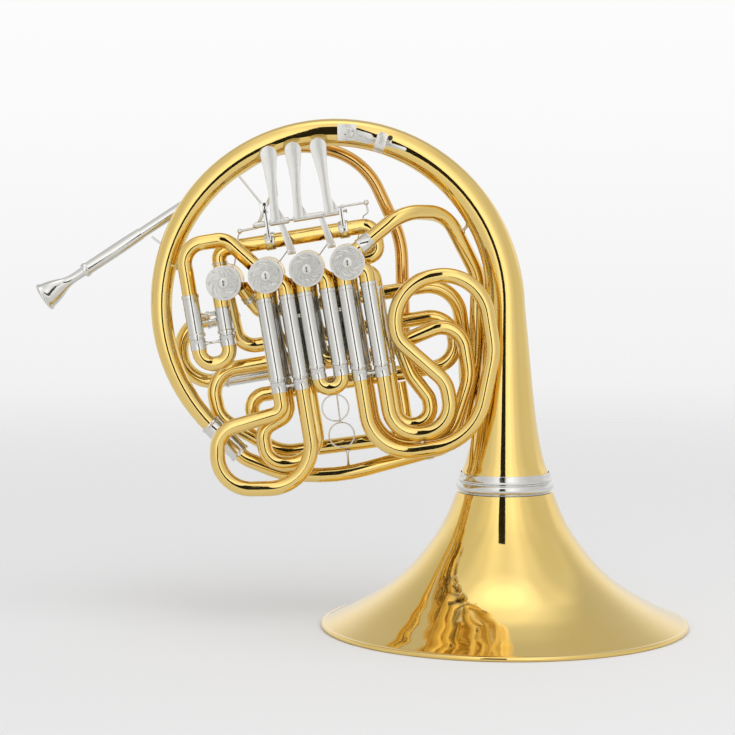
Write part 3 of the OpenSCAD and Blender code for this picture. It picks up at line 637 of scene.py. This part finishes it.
class HORN_OT_branch(bpy.types.Operator):
    """Bell tail, the big tapered branch, and its end ferrule"""
    bl_idname = "horn.branch"
    bl_label = "Branch"

    def execute(self, context):
        middle = Vector((-sizes().branch_radius, 0, TAIL_TOP))
        tail = [tuple(p) for p in rounded(TAIL, 3)]
        sweep = [tuple(p) for p in rounded(BRANCH, 4)]

        def wall(bm, less):
            size = tail[0][1] - less
            ring = bmesh.ops.create_circle(bm, cap_ends=False, segments=64, radius=size,
                                           matrix=Matrix.Translation((0, 0, tail[0][0])))["verts"]
            first = edges = ring_edges(ring)
            for (z0, _), (z1, r1) in zip(tail, tail[1:]):
                edges = pushed(bm, edges, Matrix.Translation((0, 0, z1 - z0)), Vector((0, 0, z1)),
                               (r1 - less) / size)
                size = r1 - less
            centre = Vector((0, 0, TAIL_TOP))
            for (a0, _), (a1, r1) in zip(sweep, sweep[1:]):
                turn = (Matrix.Translation(middle) @ Matrix.Rotation(math.radians(a0 - a1), 4, "Y")
                        @ Matrix.Translation(-middle))
                centre = turn @ centre
                edges = pushed(bm, edges, turn, centre, (r1 - less) / size)
                size = r1 - less
            return first, edges

        bm = bmesh.new()
        outside, inside = wall(bm, 0.0), wall(bm, 0.5)
        for loops in zip(outside, inside):
            bmesh.ops.bridge_loops(bm, edges=loops[0] + loops[1])
        brass_piece("branch_and_tail", bm, "horn", "bell_tail", "main_branch", frame_of=PART)
        end = math.radians(BRANCH_END)
        at = middle + Vector((math.cos(end), 0, math.sin(end))) * sizes().branch_radius
        way = Vector((math.sqrt(0.5), 0, -math.sqrt(0.5)))
        bm = bmesh.new()
        turn_profile(bm, [(7.75, 0), (8.9, 0), (9.1, 0.3), (9.1, 1.9), (8.9, 2.3), (8.6, 2.6), (8.55, 33.6),
                          (8.9, 34.2), (9.1, 34.5), (9.1, 36.2), (8.8, 36.9), (7.75, 36.9)],
                     standing(at - 3.5 * way, way), 48)
        nickel_piece("branch_end_ferrule", bm, "horn", "branch_ferrule", frame_of=PART)
        return {"FINISHED"}


# ---- fixed tubing ----
def ferrule(bm, at, way, length, inside=6.3, grip=0.75):
    """A sleeve over a joint between two tubes, with a rolled lip at each end."""
    way = Vector(way).normalized()
    wide = inside + grip
    turn_profile(bm, [(inside, 0), (wide, 0), (wide + 0.18, 0.25), (wide + 0.18, 0.9), (wide, 1.2),
                      (wide, length - 1.2), (wide + 0.18, length - 0.9), (wide + 0.18, length - 0.25),
                      (wide, length), (inside, length)], standing(Vector(at) - way * length / 2, way), 40)


class HORN_OT_tubing(bpy.types.Operator):
    """Fixed tubes, their joint ferrules and cross braces"""
    bl_idname = "horn.tubing"
    bl_label = "Tubing"

    def execute(self, context):
        radius = sizes().tube_radius
        for name in ("bottom_branch", "return_bend", "crossover", "lower_circuit", "inlet_bend"):
            bm = bmesh.new()
            draw_tube(bm, ROUTES[name], radius)
            brass_piece(name + "_tube", bm, "horn", name)
        bm = bmesh.new()
        draw_tube(bm, ROUTES["hairpin"], radius)
        draw_tube(bm, ROUTES["tee"], radius)
        brass_piece("hairpin_tube", bm, "horn", "hairpin")
        bm = bmesh.new()
        bottom, back = ROUTES["bottom_branch"], ROUTES["return_bend"]
        way = Vector(bottom[1][:3]) - Vector(bottom[0][:3])
        ferrule(bm, Vector((46, -29.88, 10.51)) + way.normalized() * 6, way, 12)
        way = Vector(back[9][:3]) - Vector(back[8][:3])
        ferrule(bm, Vector((-46, 12, -31)) + way.normalized() * 17, way, 5, grip=0.6)
        ferrule(bm, (-72, -3, 15.6), (0, 0, 1), 2.4, grip=0.6)
        way = Vector((-106, -12, -10)).normalized()
        ferrule(bm, Vector((101, 12, -168)) + way * 26, way, 6, grip=0.6)
        nickel_piece("tube_ferrules", bm, "horn", "joint_ferrules")
        bm = bmesh.new()
        for a, b, waist, flare in (((-13.4, -30, -37), (-11.6, -30, -37), 2.0, 2.6),
                                   ((20.6, -30, -37.5), (22.4, -30, -37.5), 2.0, 2.6),
                                   ((-93.4, -18, -30), (-81.6, -18, -30), 1.0, 2.4),
                                   ((-93.4, -18, -24.5), (-81.6, -18, -24.5), 1.0, 2.4),
                                   ((7.5, 8, -158.6), (6.5, 2, -171), 1.0, 2.2),
                                   ((-114.6, -2, 21.2), (-106.2, -17, 18.8), 1.3, 3.0),
                                   ((132.5, 1.4, 8.6), (138.5, -3, 14), 1.3, 2.8)):
            spool(bm, a, b, waist, flare)
        nickel_piece("cross_braces", bm, "horn", "braces")
        return {"FINISHED"}


# ---- mouthpiece and leadpipe ----
class HORN_OT_leadpipe(bpy.types.Operator):
    """Mouthpiece, receiver, leadpipe and the curved brace"""
    bl_idname = "horn.leadpipe"
    bl_label = "Leadpipe"

    def execute(self, context):
        way = Vector((0.9135, 0, 0.4067)).normalized()
        mouth = Vector((-103.9, 17, 64.6))
        cup = ([(8.75, 0.6), (9.1, 0.15), (9.9, 0.0), (11.2, 0.0), (12.0, 0.3), (12.4, 0.95), (12.4, 2.0), (12.1, 2.7)]
               + [tuple(p) for p in rounded([(11.5, 3.5), (10.9, 5.2), (10.1, 9), (8.6, 14), (6.6, 19), (5.0, 23),
                                             (4.2, 27), (3.9, 31), (3.95, 36), (4.15, 40.5), (3.95, 44), (3.3, 63)], 4)])
        bore = [tuple(p) for p in rounded([(2.9, 63), (2.3, 30), (2.3, 24), (3.3, 20), (6, 12), (7.8, 6),
                                           (8.6, 2.5)], 4)]
        bm = bmesh.new()
        turn_profile(bm, cup + bore, standing(mouth - 133 * way, way), 72)
        nickel_piece("mouthpiece_turned", bm, "mouthpiece", "mouthpiece")
        bm = bmesh.new()
        turn_profile(bm, [(4.3, 0), (5.7, 0), (6.0, 0.3), (6.15, 0.9), (6.15, 3.0), (6.0, 3.5), (5.6, 4), (5.35, 5),
                          (5.5, 30), (5.45, 44), (5.1, 56), (4.95, 58), (4.55, 58), (4.55, 48.4), (3.2, 48.4),
                          (3.2, 26)], standing(mouth - 92 * way, way), 48)
        nickel_piece("receiver_turned", bm, "horn", "receiver")
        route = ROUTES["leadpipe"]
        total = route_length(route)
        bm = bmesh.new()
        draw_tube(bm, route, lambda gone: 4.5 + 1.4 * min(1.0, gone / (0.85 * total)), step=4.0)
        # the first reach is nickel silver, the rest a redder brass
        pipe = finished("leadpipe_tube", bm, "horn", nickel(), "nickel_silver", "leadpipe")
        pipe.data.materials.append(rose_brass())
        edge = (ROW @ Vector((-60, 0, 0))).x
        low = (ROW @ Vector((68, 0, -83))).z
        for face in pipe.data.polygons:
            if face.center.x > edge and face.center.z > low - 0.02:
                face.material_index = 1
        bm = bmesh.new()
        draw_tube(bm, [(-126, 14, 46.5, 0), (-118, 12, 38, 6), (-120.5, 2, 22, 0)], 1.0, sides=16)
        spool(bm, (-120.9, 2.6, 23), (-121.1, 1.6, 20.6), 1.6, 2.2)
        nickel_piece("leadpipe_curved_brace", bm, "horn", "leadpipe_brace")
        return {"FINISHED"}


# ---- valves ----
def valve_stand(i, y):
    """Frame on valve axis i with +Z to the rear."""
    return Matrix.Translation((VALVE_X[i], y, 0)) @ Matrix.Rotation(math.radians(-90), 4, "X")


def knuckles(bm, x, front, back):
    """Short elbows from a casing down into the sleeves of its slides."""
    wide = sizes().sleeve_radius
    if front:
        draw_tube(bm, [(x - 5, FRONT_TIER, -2, 0), (x - 5, FRONT_TIER, -18, 0)], wide)
        draw_tube(bm, [(x + 3, FRONT_TIER, -5.5, 0), (x + 14, FRONT_TIER, -5.5, 7.6), (x + 14, FRONT_TIER, -18, 0)],
                  wide, step=10)
    if back:
        draw_tube(bm, [(x - 1, BACK_TIER, -4, 0), (x - 1, BACK_TIER, -24, 0)], wide)
        draw_tube(bm, [(x + 4, BACK_TIER, -5, 0), (x + 19, BACK_TIER, -14, 7.6), (x + 19, BACK_TIER, -24, 0)],
                  wide - 0.02, step=10)


def engraving(bm, stand, strokes):
    """Curved leaf strokes that sweep round the cap's face."""
    for k in range(strokes):
        start = math.tau * k / strokes + 0.35 * math.sin(2.3 * k)
        reach = 0.85 + 0.45 * math.sin(1.7 * k + 0.6)
        count = 12
        ring = None
        edges = None
        for j in range(count):
            t = j / (count - 1)
            angle = start + reach * t * 1.15
            r = 5.4 + 7.0 * t ** 0.8
            wide = 0.08 + 0.58 * math.sin(math.pi * t) ** 0.8
            at = Vector((r * math.cos(angle), r * math.sin(angle), 0.0))
            out = at.normalized()
            place = (Matrix.Translation(at) @ Matrix((out, Vector((0, 0, 1)), out.cross(Vector((0, 0, 1))))).transposed().to_4x4()
                     @ Matrix.Diagonal((wide, 0.5, 1, 1)))
            if ring is None:
                ring = bmesh.ops.create_circle(bm, cap_ends=True, segments=6, radius=1.0, matrix=stand @ place)["verts"]
                edges = ring_edges(ring)
            else:
                edges = pushed(bm, edges, stand @ place @ last.inverted() @ stand.inverted())
            last = place
        bmesh.ops.contextual_create(bm, geom=edges)


class HORN_OT_valves(bpy.types.Operator):
    """Casings, engraved caps, bearing plates, rotors and bumpers"""
    bl_idname = "horn.valves"
    bl_label = "Valves"

    def execute(self, context):
        deep = CASING_REAR - CASING_FRONT
        for i, x in enumerate(VALVE_X):
            bm = bmesh.new()
            turn_profile(bm, [(13, 0.02), (14.3, 0.02), (14.5, 0.3), (14.5, 2.6), (14.2, 3.0), (14.2, deep - 3),
                              (14.5, deep - 2.6), (14.5, deep - 0.3), (14.3, deep - 0.02), (13, deep - 0.02)],
                         valve_stand(i, CASING_FRONT), 64)
            knuckles(bm, x, i < 3, i < 3)
            if i == 3:
                draw_tube(bm, [(-75, -18, -8, 0), (-75, -18, -20, 0)], sizes().sleeve_radius)
            brass_piece(f"valve_{i + 1}_casing", bm, "horn", f"casing_{i + 1}")
            self.cap(i)
        bm = bmesh.new()
        for i in range(4):
            turn_profile(bm, [(3.05, 0), (14.3, 0), (14.5, 0.3), (14.5, 1.8), (14.1, 2.3), (13.2, 2.4), (6.6, 2.4),
                              (6.3, 2.7), (6, 3.2), (3.05, 3.2)], valve_stand(i, CASING_REAR + 0.05), 64)
        nickel_piece("rear_bearing_plates", bm, "horn", "rear_plates")
        bm = bmesh.new()
        for i in range(4):
            for angle in (65, -155):
                stand = valve_stand(i, CASING_REAR + 2.5) @ Matrix.Rotation(math.radians(angle), 4, "Z")
                turn_profile(bm, [(0, 0), (1.7, 0), (1.7, 4.2), (1.4, 4.6), (0, 4.6)],
                             stand @ Matrix.Translation((9.6, 0, 0)), 20, closed=False)
        finished("stop_bumpers", bm, "horn", cork_and_slot_shade(), "bumper_cork", "bumpers")
        for i in range(4):
            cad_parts[f"rotor_{i + 1}"].data.materials.clear()
            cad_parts[f"rotor_{i + 1}"].data.materials.append(bronze())
        return {"FINISHED"}

    def cap(self, i):
        front = valve_stand(i, CASING_FRONT) @ Matrix.Rotation(math.pi, 4, "X")
        bm = bmesh.new()
        made = turn_profile(bm, [(0, 0.05), (14.3, 0.05), (14.5, 0.4), (14.5, 3.4), (14.3, 3.9), (13.8, 4.2),
                                 (13.3, 4.25), (13.0, 4.1), (12.8, 4.3), (6.6, 4.5), (4.7, 4.5), (4.6, 5.1),
                                 (4.3, 5.9), (3.5, 6.6), (2.0, 6.95), (0, 7.0)], None, 96, closed=False)
        for vert in made:
            across = Vector((vert.co.x, vert.co.y))
            if across.length > 14.4:
                turn = round(math.atan2(across.y, across.x) / math.tau * 96)
                vert.co.x, vert.co.y = across * (14.6 if turn % 2 else 14.32) / across.length
        bmesh.ops.transform(bm, matrix=front, verts=made)
        piece = finished(f"valve_{i + 1}_cap", bm, "horn", satin_nickel(), "nickel_silver", f"cap_{i + 1}")
        bm = bmesh.new()
        engraving(bm, front @ Matrix.Translation((0, 0, 4.4)) @ Matrix.Rotation(0.9 * i, 4, "Z"),
                  sizes().engraved_strokes)
        finished(f"valve_{i + 1}_cap_engraving", bm, "horn", nickel(), "nickel_silver")
        # the cap's screw slot is a thin black block just under its face: painted shade standing in for a cut recess
        bm = bmesh.new()
        block(bm, (-0.55, -2.2, 6.2), (0.55, 2.2, 6.99), 0.1)
        bmesh.ops.transform(bm, matrix=front, verts=bm.verts)
        finished(f"valve_{i + 1}_cap_slot_painted_shade", bm, "horn", cork_and_slot_shade(), "bumper_cork")
        return piece


# ---- slides ----
def sleeve(bm, at, way, length, mouth=0.7, root=0.35):
    """An outer slide tube with a band at its mouth and another at its root."""
    wide, bore = sizes().sleeve_radius, 6.35
    turn_profile(bm, [(bore, 0), (wide + mouth - 0.2, 0), (wide + mouth, 0.25), (wide + mouth, 2.5),
                      (wide + mouth - 0.3, 2.9), (wide, 3.2), (wide, length - 3.4), (wide + root, length - 3.1),
                      (wide + root, length - 0.3), (wide + root - 0.15, length), (bore, length)],
                 standing(at, way), 40)


def end_ferrule(bm, at, way, length=9.0):
    """Nickel ferrule where a slide's crook meets its leg."""
    turn_profile(bm, [(6.28, 0), (6.6, 0), (6.85, 0.2), (6.88, 1.3), (6.7, 1.6), (6.7, length - 1.6),
                      (6.85, length - 1.3), (6.85, length - 0.2), (6.6, length), (6.28, length)],
                 standing(at, way), 40)


# slide, its two legs, tier, top of the legs, foot of the ferrules, and the braces between legs
SLIDES = [
    ("slide_f1", (-39, -20), -30, -26, -97.5, -93),
    ("slide_f2", (-5, 14), -30, -26, -91.5, None),
    ("slide_f3", (29, 48), -30, -26, -98, -93.5),
    ("slide_b1", (-35, -15), -13.5, -32, -97.5, None),
    ("slide_b2", (-1, 19), -13.5, -32, -72.5, None),
    ("slide_b3", (33, 53), -13.5, -32, -97.5, None),
    ("slide_main", (-100, -75), -18, None, -52.5, -48),
]


class HORN_OT_slides(bpy.types.Operator):
    """Slide sleeves and the eight slides with their crooks, ferrules and pull rings"""
    bl_idname = "horn.slides"
    bl_label = "Slides"

    def execute(self, context):
        up = (0, 0, 1)
        for i, (front, back) in enumerate(((-87, -87), (-82, -62), (-88, -87))):
            bm = bmesh.new()
            for x in (-5, 14):
                sleeve(bm, (VALVE_X[i] + x, FRONT_TIER, front), up, -18.05 - front, mouth=0.5)
            for x in (-1, 19):
                sleeve(bm, (VALVE_X[i] + x, BACK_TIER, back), up, -24.05 - back, mouth=0.2, root=0.0)
            nickel_piece(f"valve_{i + 1}_sleeves", bm, "horn", f"sleeves_{i + 1}")
        bm = bmesh.new()
        sleeve(bm, (-100, -18, -42), up, 35.95, root=0.5)
        sleeve(bm, (-75, -18, -42), up, 21.95, root=0.0)
        nickel_piece("main_slide_sleeves", bm, "horn", "sleeves_main")
        bm = bmesh.new()
        sleeve(bm, (-86, 26, -83), (1, 0, 0), 83.9, root=0.0)
        sleeve(bm, (-93, 26, -31), (1, 0, 0), 13.9, root=0.0)
        nickel_piece("tuning_slide_sleeves", bm, "horn", "sleeves_f")
        for name, legs, y, top, foot, brace in SLIDES:
            self.slide(name, legs, y, foot, brace)
        self.tuning_slide()
        self.pulls()
        return {"FINISHED"}

    def slide(self, name, legs, y, foot, brace):
        radius = sizes().tube_radius
        route = [list(c) for c in ROUTES[name]]
        tops = route[0][2], route[-1][2]
        route[0][2] = route[-1][2] = foot + 8.0
        bm = bmesh.new()
        draw_tube(bm, route, radius)
        brass_piece(name + "_crook", bm, name, name)
        bm = bmesh.new()
        for x, top in zip(legs, tops):
            pin(bm, (x, y, foot + 7.9), (x, y, top), radius, sides=32)
            end_ferrule(bm, (x, y, foot), (0, 0, 1))
        if brace is not None:
            spool(bm, (legs[0] + 6.4, y, brace), (legs[1] - 6.4, y, brace), 1.1, 2.0)
        if name == "slide_f3":
            spool(bm, (71, y, -155.9), (71, y, -158.4), 1.9, 2.6)
        nickel_piece(name + "_legs", bm, name)

    def tuning_slide(self):
        radius = sizes().tube_radius
        route = [list(c) for c in ROUTES["slide_tuning_f"]]
        route[0][0] = -89.0
        bm = bmesh.new()
        draw_tube(bm, route, radius)
        brass_piece("slide_tuning_f_bow", bm, "slide_tuning_f", "slide_tuning_f")
        bm = bmesh.new()
        pin(bm, (-88.9, 26, -83), (-30, 26, -83), radius, sides=32)
        end_ferrule(bm, (-96.5, 26, -83), (1, 0, 0))
        nickel_piece("slide_tuning_f_legs", bm, "slide_tuning_f")

    def pulls(self):
        bm = bmesh.new()
        wire_ring(bm, (4.5, FRONT_TIER, -117.4), (0, -1, 0), 11.0, 0.6)
        nickel_piece("slide_f2_pull_ring", bm, "slide_f2")
        bm = bmesh.new()
        wire_ring(bm, (5.5, BACK_TIER, -142.4), (0, -1, 0), 10.6, 0.6)
        pin(bm, (8, BACK_TIER, -82.5), (6, BACK_TIER, -131.6), 0.7)
        ball(bm, (6, BACK_TIER, -131.4), 1.3)
        nickel_piece("slide_b2_pull_ring", bm, "slide_b2")


# ---- levers ----
# paddle centre, stem centre, hub from and to, arm centre
LEVERS = [(-16, -19.3, -24.4, -8.4, -10.5), (4.4, 0, -4.6, 20.6, 23), (25.3, 25.8, 21.2, 33.4, None)]
LEVER_TOP = 105.0


def hub(bm, x0, x1, radius=2.6):
    """A hinge barrel on the axle, bored for it."""
    n = x1 - x0
    turn_profile(bm, [(1.25, 0), (radius - 0.25, 0), (radius, 0.25), (radius, n - 0.25), (radius - 0.25, n),
                      (1.25, n)], standing((x0, LEVER_Y, AXLE_Z), (1, 0, 0)), 32)


class HORN_OT_levers(bpy.types.Operator):
    """Finger levers, thumb lever, axle, key posts and linkage cords"""
    bl_idname = "horn.levers"
    bl_label = "Levers"

    def execute(self, context):
        facing = Matrix.Translation((0, LEVER_Y - 1.8, 0)) @ Matrix.Rotation(math.radians(90), 4, "X")
        for i, (paddle, stem, start, end, arm) in enumerate(LEVERS):
            bm = bmesh.new()
            self.spoon(bm, paddle, stem, facing)
            hub(bm, start, end)
            # gusset between the paddle and its hub
            plate(bm, [(0, 0), (3.6, 0), (3.6, 3), (0, 11.5)], 2.0,
                  Matrix.Translation((stem + 4, LEVER_Y - 0.1, AXLE_Z)) @ Matrix.Rotation(math.radians(90), 4, "X"))
            if arm is not None:
                self.arm(bm, arm)
            else:
                self.ball_arm(bm)
            finished(f"finger_lever_{i + 1}", bm, f"lever_{i + 1}", satin_nickel(), "nickel_silver", f"lever_{i + 1}")
        self.thumb()
        self.axle_and_posts()
        self.cords()
        return {"FINISHED"}

    def spoon(self, bm, paddle, stem, facing):
        """A paddle: a round spoon end that narrows to a slim stem."""
        half, top = 7.0, LEVER_TOP
        right = [(6.2, top - 13), (5.2, top - 20), (4.1, top - 30), (3.5, top - 40), (3.5, top - 50), (3.9, AXLE_Z + 6),
                 (4.1, AXLE_Z)]
        shift = [(y, paddle + (stem - paddle) * (top - 7 - y) / (top - 7 - AXLE_Z)) for _, y in right]
        cap = [(paddle + x, y) for x, y in arc((0, top - half), half, 180, 0, 17)]
        right = [(mid + w, y) for (w, y), (_, mid) in zip(right, shift)]
        left = [(2 * mid - x, y) for (x, y), (_, mid) in zip(right, shift)]
        smooth_right = [tuple(p) for p in rounded([cap[-1]] + right, 4)][1:]
        smooth_left = [tuple(p) for p in rounded([cap[0]] + left, 4)][1:]
        plate(bm, cap + smooth_right + smooth_left[::-1], 1.6, facing, 0.5)

    def arm(self, bm, x):
        plate(bm, [(x - 7, AXLE_Z - 1), (x - 3.3, 17), (x + 3.3, 17), (x - 2.4, AXLE_Z - 1)], 1.4,
              Matrix.Translation((0, LEVER_Y + 1.4, 0)) @ Matrix.Rotation(math.radians(90), 4, "X"), 0.3)
        block(bm, (x - 3.4, LEVER_Y - 1, 13.6), (x + 3.4, LEVER_Y + 3, 17.6), 0.4)
        turn_profile(bm, [(0, 0), (1.7, 0), (1.7, 1.0), (1.3, 1.4), (0, 1.4)],
                     standing((x, LEVER_Y - 1, 15.6), (0, -1, 0)), 20, closed=False)

    def ball_arm(self, bm):
        turn_profile(bm, [(0, 0), (1.3, 0), (1.3, 1.2), (1.0, 1.8), (1.0, 8), (1.6, 8.6), (1.6, 10), (1.0, 10.6),
                          (1.0, 27.5), (0, 27.5)], standing((28, LEVER_Y, AXLE_Z + 4), (1, 0, 0)), 20, closed=False)
        ball(bm, (57, LEVER_Y, AXLE_Z + 4), 2.3)
        pin(bm, (28, LEVER_Y, AXLE_Z + 1), (28, LEVER_Y, AXLE_Z + 4.6), 1.2)
        pin(bm, (57, LEVER_Y, AXLE_Z + 3), (57.3, LEVER_Y + 1, 38.4), 0.8)

    def thumb(self):
        bm = bmesh.new()
        hub(bm, -36.6, -28.6)
        pin(bm, (-33, LEVER_Y + 1.6, AXLE_Z + 2.1), (-19.5, 2.6, 66), 1.5)
        outline = arc((-18.4, 82), 4.8, 180, 0, 15) + [(-15, 63), (-16, 62), (-20.8, 62), (-21.8, 63)]
        plate(bm, outline, 1.8, Matrix.Translation((0, 4, 0)) @ Matrix.Rotation(math.radians(90), 4, "X"), 0.5)
        pin(bm, (-35, LEVER_Y + 1.2, AXLE_Z - 2), (-50.5, -13, 39.4), 1.0)
        ball(bm, (-50.5, -13, 39.4), 2.2)
        finished("thumb_lever", bm, "lever_thumb", satin_nickel(), "nickel_silver", "lever_thumb")

    def axle_and_posts(self):
        bm = bmesh.new()
        pin(bm, (-37.6, LEVER_Y, AXLE_Z), (39.4, LEVER_Y, AXLE_Z), 1.2, sides=24)
        for x, way in ((-37.6, -1), (39.4, 1)):
            turn_profile(bm, [(0, 0), (2, 0), (2, 0.6), (1.6, 1.0), (0, 1.0)],
                         standing((x, LEVER_Y, AXLE_Z), (way, 0, 0)), 24, closed=False)
        nickel_piece("lever_hinge_rod", bm, "horn", "lever_axle")
        bm = bmesh.new()
        for x, reach, top in ((-26.8, 45.2, 51), (35.4, 107.4, 44.6)):
            y = -3 - 13 * reach / 132
            block(bm, (x - 1.6, LEVER_Y - 2.6, 28), (x + 1.6, LEVER_Y - 1.3, top), 0.3)
            block(bm, (x - 1.6, LEVER_Y - 1.5, 28), (x + 1.6, LEVER_Y + 1, AXLE_Z - 1.3), 0.3)
            block(bm, (x - 1.6, LEVER_Y, 30), (x + 1.6, y - 4.6, 32), 0.3)
            along = Vector((132, -13, 0)).normalized()
            turn_profile(bm, [(6.32, 0), (7.3, 0), (7.5, 0.3), (7.5, 7.7), (7.3, 8), (6.32, 8)],
                         standing(Vector((x, y, 27)) - 4 * along, along), 40)
        plate(bm, [(-30.8, 50.4), (-24, 50.4), (-24, 59.4), (-30.8, 59.4)], 2.4,
              Matrix.Translation((0, LEVER_Y - 0.2, 0)) @ Matrix.Rotation(math.radians(90), 4, "X"), 0.4)
        turn_profile(bm, [(0, 0), (1.7, 0), (1.7, 0.35), (1.2, 0.5), (0, 0.5)],
                     standing((-26.8, LEVER_Y - 2.55, 55.2), (0, -1, 0)), 20, closed=False)
        draw_tube(bm, [(-28.6, LEVER_Y - 1, 59, 0), (-33, LEVER_Y + 2.8, 66.4, 0), (-43.4, -9, 84, 0)], 0.9, sides=12)
        nickel_piece("key_posts", bm, "horn", "key_bridge")

    def cords(self):
        bm = bmesh.new()
        for a, b, c in (((-10.5, -16, 16.6), (-15, 15.5, 16.6), (-29, 15.5, 2.8)),
                        ((23, -16, 16.6), (19, 15.5, 16.6), (5, 15.5, 2.8)),
                        ((57.3, -18.6, 37.6), (53, 15.5, 35), (39, 15.5, 2.8)),
                        ((-51, -9.4, 37.6), (-54, 15.5, 36), (-64, 15.5, 2.8))):
            draw_tube(bm, [(*a, 0), (*b, 1.2), (*c, 0)], 0.5, sides=10, step=20)
        finished("linkage_cords", bm, "horn", waxed_cord(), "cord", "linkage_strings")


# ---- finger hook ----
class HORN_OT_hook(bpy.types.Operator):
    """Little-finger hook with its base plate and slotted screw"""
    bl_idname = "horn.hook"
    bl_label = "Finger hook"

    def execute(self, context):
        pivot = (-131.4, -14.4, 414.9)
        arm_frame = (Matrix.Translation(pivot) @ Matrix.Rotation(math.radians(16), 4, "Y")
                     @ Matrix.Rotation(math.radians(90), 4, "X"))
        self.base(arm_frame)
        bm = bmesh.new()
        stand = standing((pivot[0], -17.05, pivot[2]), (0, -1, 0))
        turn_profile(bm, [(0, -2.6), (1.5, -2.6), (1.5, 0), (3.7, 0), (4.0, 0.3), (4.0, 1.5), (3.6, 2.0), (2.6, 2.2),
                          (0, 2.2)], stand, 40, closed=False)
        finished("hook_screw_head", bm, "horn", satin_nickel(), "nickel_silver", "hook_screw", frame_of=PART)
        # the screw's slot is a thin black block set into the head: painted shade standing in for a cut recess
        bm = bmesh.new()
        block(bm, (-3.6, -0.45, 1.9), (3.6, 0.45, 2.19), 0.05)
        bmesh.ops.transform(bm, matrix=stand @ Matrix.Rotation(math.radians(25), 4, "Z"), verts=bm.verts)
        finished("hook_screw_slot_painted_shade", bm, "horn", cork_and_slot_shade(), "bumper_cork", frame_of=PART)
        self.arm(arm_frame)
        return {"FINISHED"}

    def base(self, arm_frame):
        """A saddle block on the branch, with a flat plate under the hook's arm."""
        turn = math.radians(85.5)
        seat = Vector((-144.5 + 144.5 * math.cos(turn), -13.9, 271.5 + 144.5 * math.sin(turn)))
        bm = bmesh.new()
        block(bm, seat + Vector((-7.9, 0, -6.9)), seat + Vector((7.9, 10.5, 6.9)), 0.5)
        plate(bm, [(-6, -4.5), (18, -4.5), (20.4, -2.6), (21, 0), (20.4, 2.6), (18, 4.5), (-6, 4.5)], 2.2,
              arm_frame @ Matrix.Translation((0, 0, -2.3)), 0.4)
        finished("hook_base_plate", bm, "horn", satin_nickel(), "nickel_silver", "hook_base", frame_of=PART)

    def arm(self, arm_frame):
        bm = bmesh.new()
        slim = [(-5, -2.2), (-3.6, -3), (0, -3), (14, -2.4), (26, -2.2), (26, 2.2), (14, 2.4), (0, 3), (-3.6, 3),
                (-5, 2.2)]
        plate(bm, slim, 2.3, arm_frame, 0.35)
        plate(bm, [(25, -1.7), (48, -1.5), (49.4, -0.8), (49.4, 0.8), (48, 1.5), (25, 1.7)], 1.9, arm_frame, 0.3)
        # the strip curls round the finger and ends in a rounded lip
        curl = [(y, z) for y, z in arc((0, 8.8), 8.8, -90, -270, 25)]
        inner = [(y, z) for y, z in arc((0, 8.8), 7.0, -270, -90, 25)]
        side = arm_frame @ Matrix.Translation((23, 0, 0)) @ Matrix(
            ((0, 0, 1, 0), (1, 0, 0, 0), (0, 1, 0, 0), (0, 0, 0, 1)))
        plate(bm, curl + inner, 8.8, side, 0.3)
        lip = [(-4.35, -0.5), (4.35, -0.5), (4.35, 4)] + arc((0, 4), 4.35, 10, 170, 15) + [(-4.35, 4)]
        plate(bm, lip, 1.8, arm_frame @ Matrix.Translation((27.4, 0, 15.8)), 0.4)
        block_at = [(32, -1.2), (36, -1.2), (36, 7), (32, 7)]
        plate(bm, block_at, 1.8, arm_frame, 0.3)
        finished("finger_hook_strip", bm, "finger_hook", satin_nickel(), "nickel_silver", "finger_hook",
                 frame_of=PART)
        bm = bmesh.new()
        turn_profile(bm, [(0, 1), (2.1, 1), (2.1, 3.4), (1.7, 4.1), (0.9, 4.4), (0, 4.4)],
                     arm_frame @ Matrix.Translation((34, 5.6, 0)), 32, closed=False)
        finished("finger_hook_stop_bead", bm, "finger_hook", cork_and_slot_shade(), "bumper_cork", frame_of=PART)


class HORN_PT_panel(bpy.types.Panel):
    """The horn's sizes, finishes and pieces"""
    bl_idname = "HORN_PT_panel"
    bl_label = "Double Horn"
    bl_space_type = "VIEW_3D"
    bl_region_type = "UI"
    bl_category = "Horn"

    def draw(self, context):
        for group in (context.scene.horn_sizes, context.scene.horn_finish):
            for name in group.__annotations__:
                self.layout.prop(group, name)
        for maker in MAKERS:
            self.layout.operator(maker.bl_idname)


MAKERS = (HORN_OT_stage, HORN_OT_bell, HORN_OT_branch, HORN_OT_tubing, HORN_OT_leadpipe, HORN_OT_valves,
          HORN_OT_slides, HORN_OT_levers, HORN_OT_hook)
CLASSES = (HornSizes, HornFinish, *MAKERS, HORN_PT_panel)


def register():
    for made in CLASSES:
        bpy.utils.register_class(made)
    bpy.types.Scene.horn_sizes = PointerProperty(type=HornSizes)
    bpy.types.Scene.horn_finish = PointerProperty(type=HornFinish)


def unregister():
    del bpy.types.Scene.horn_finish
    del bpy.types.Scene.horn_sizes
    for made in reversed(CLASSES):
        bpy.utils.unregister_class(made)


def main():
    register()
    bpy.ops.horn.stage()
    bpy.ops.horn.bell()
    bpy.ops.horn.branch()
    bpy.ops.horn.tubing()
    bpy.ops.horn.leadpipe()
    bpy.ops.horn.valves()
    bpy.ops.horn.slides()
    bpy.ops.horn.levers()
    bpy.ops.horn.hook()


if __name__ == "__main__":
    main()
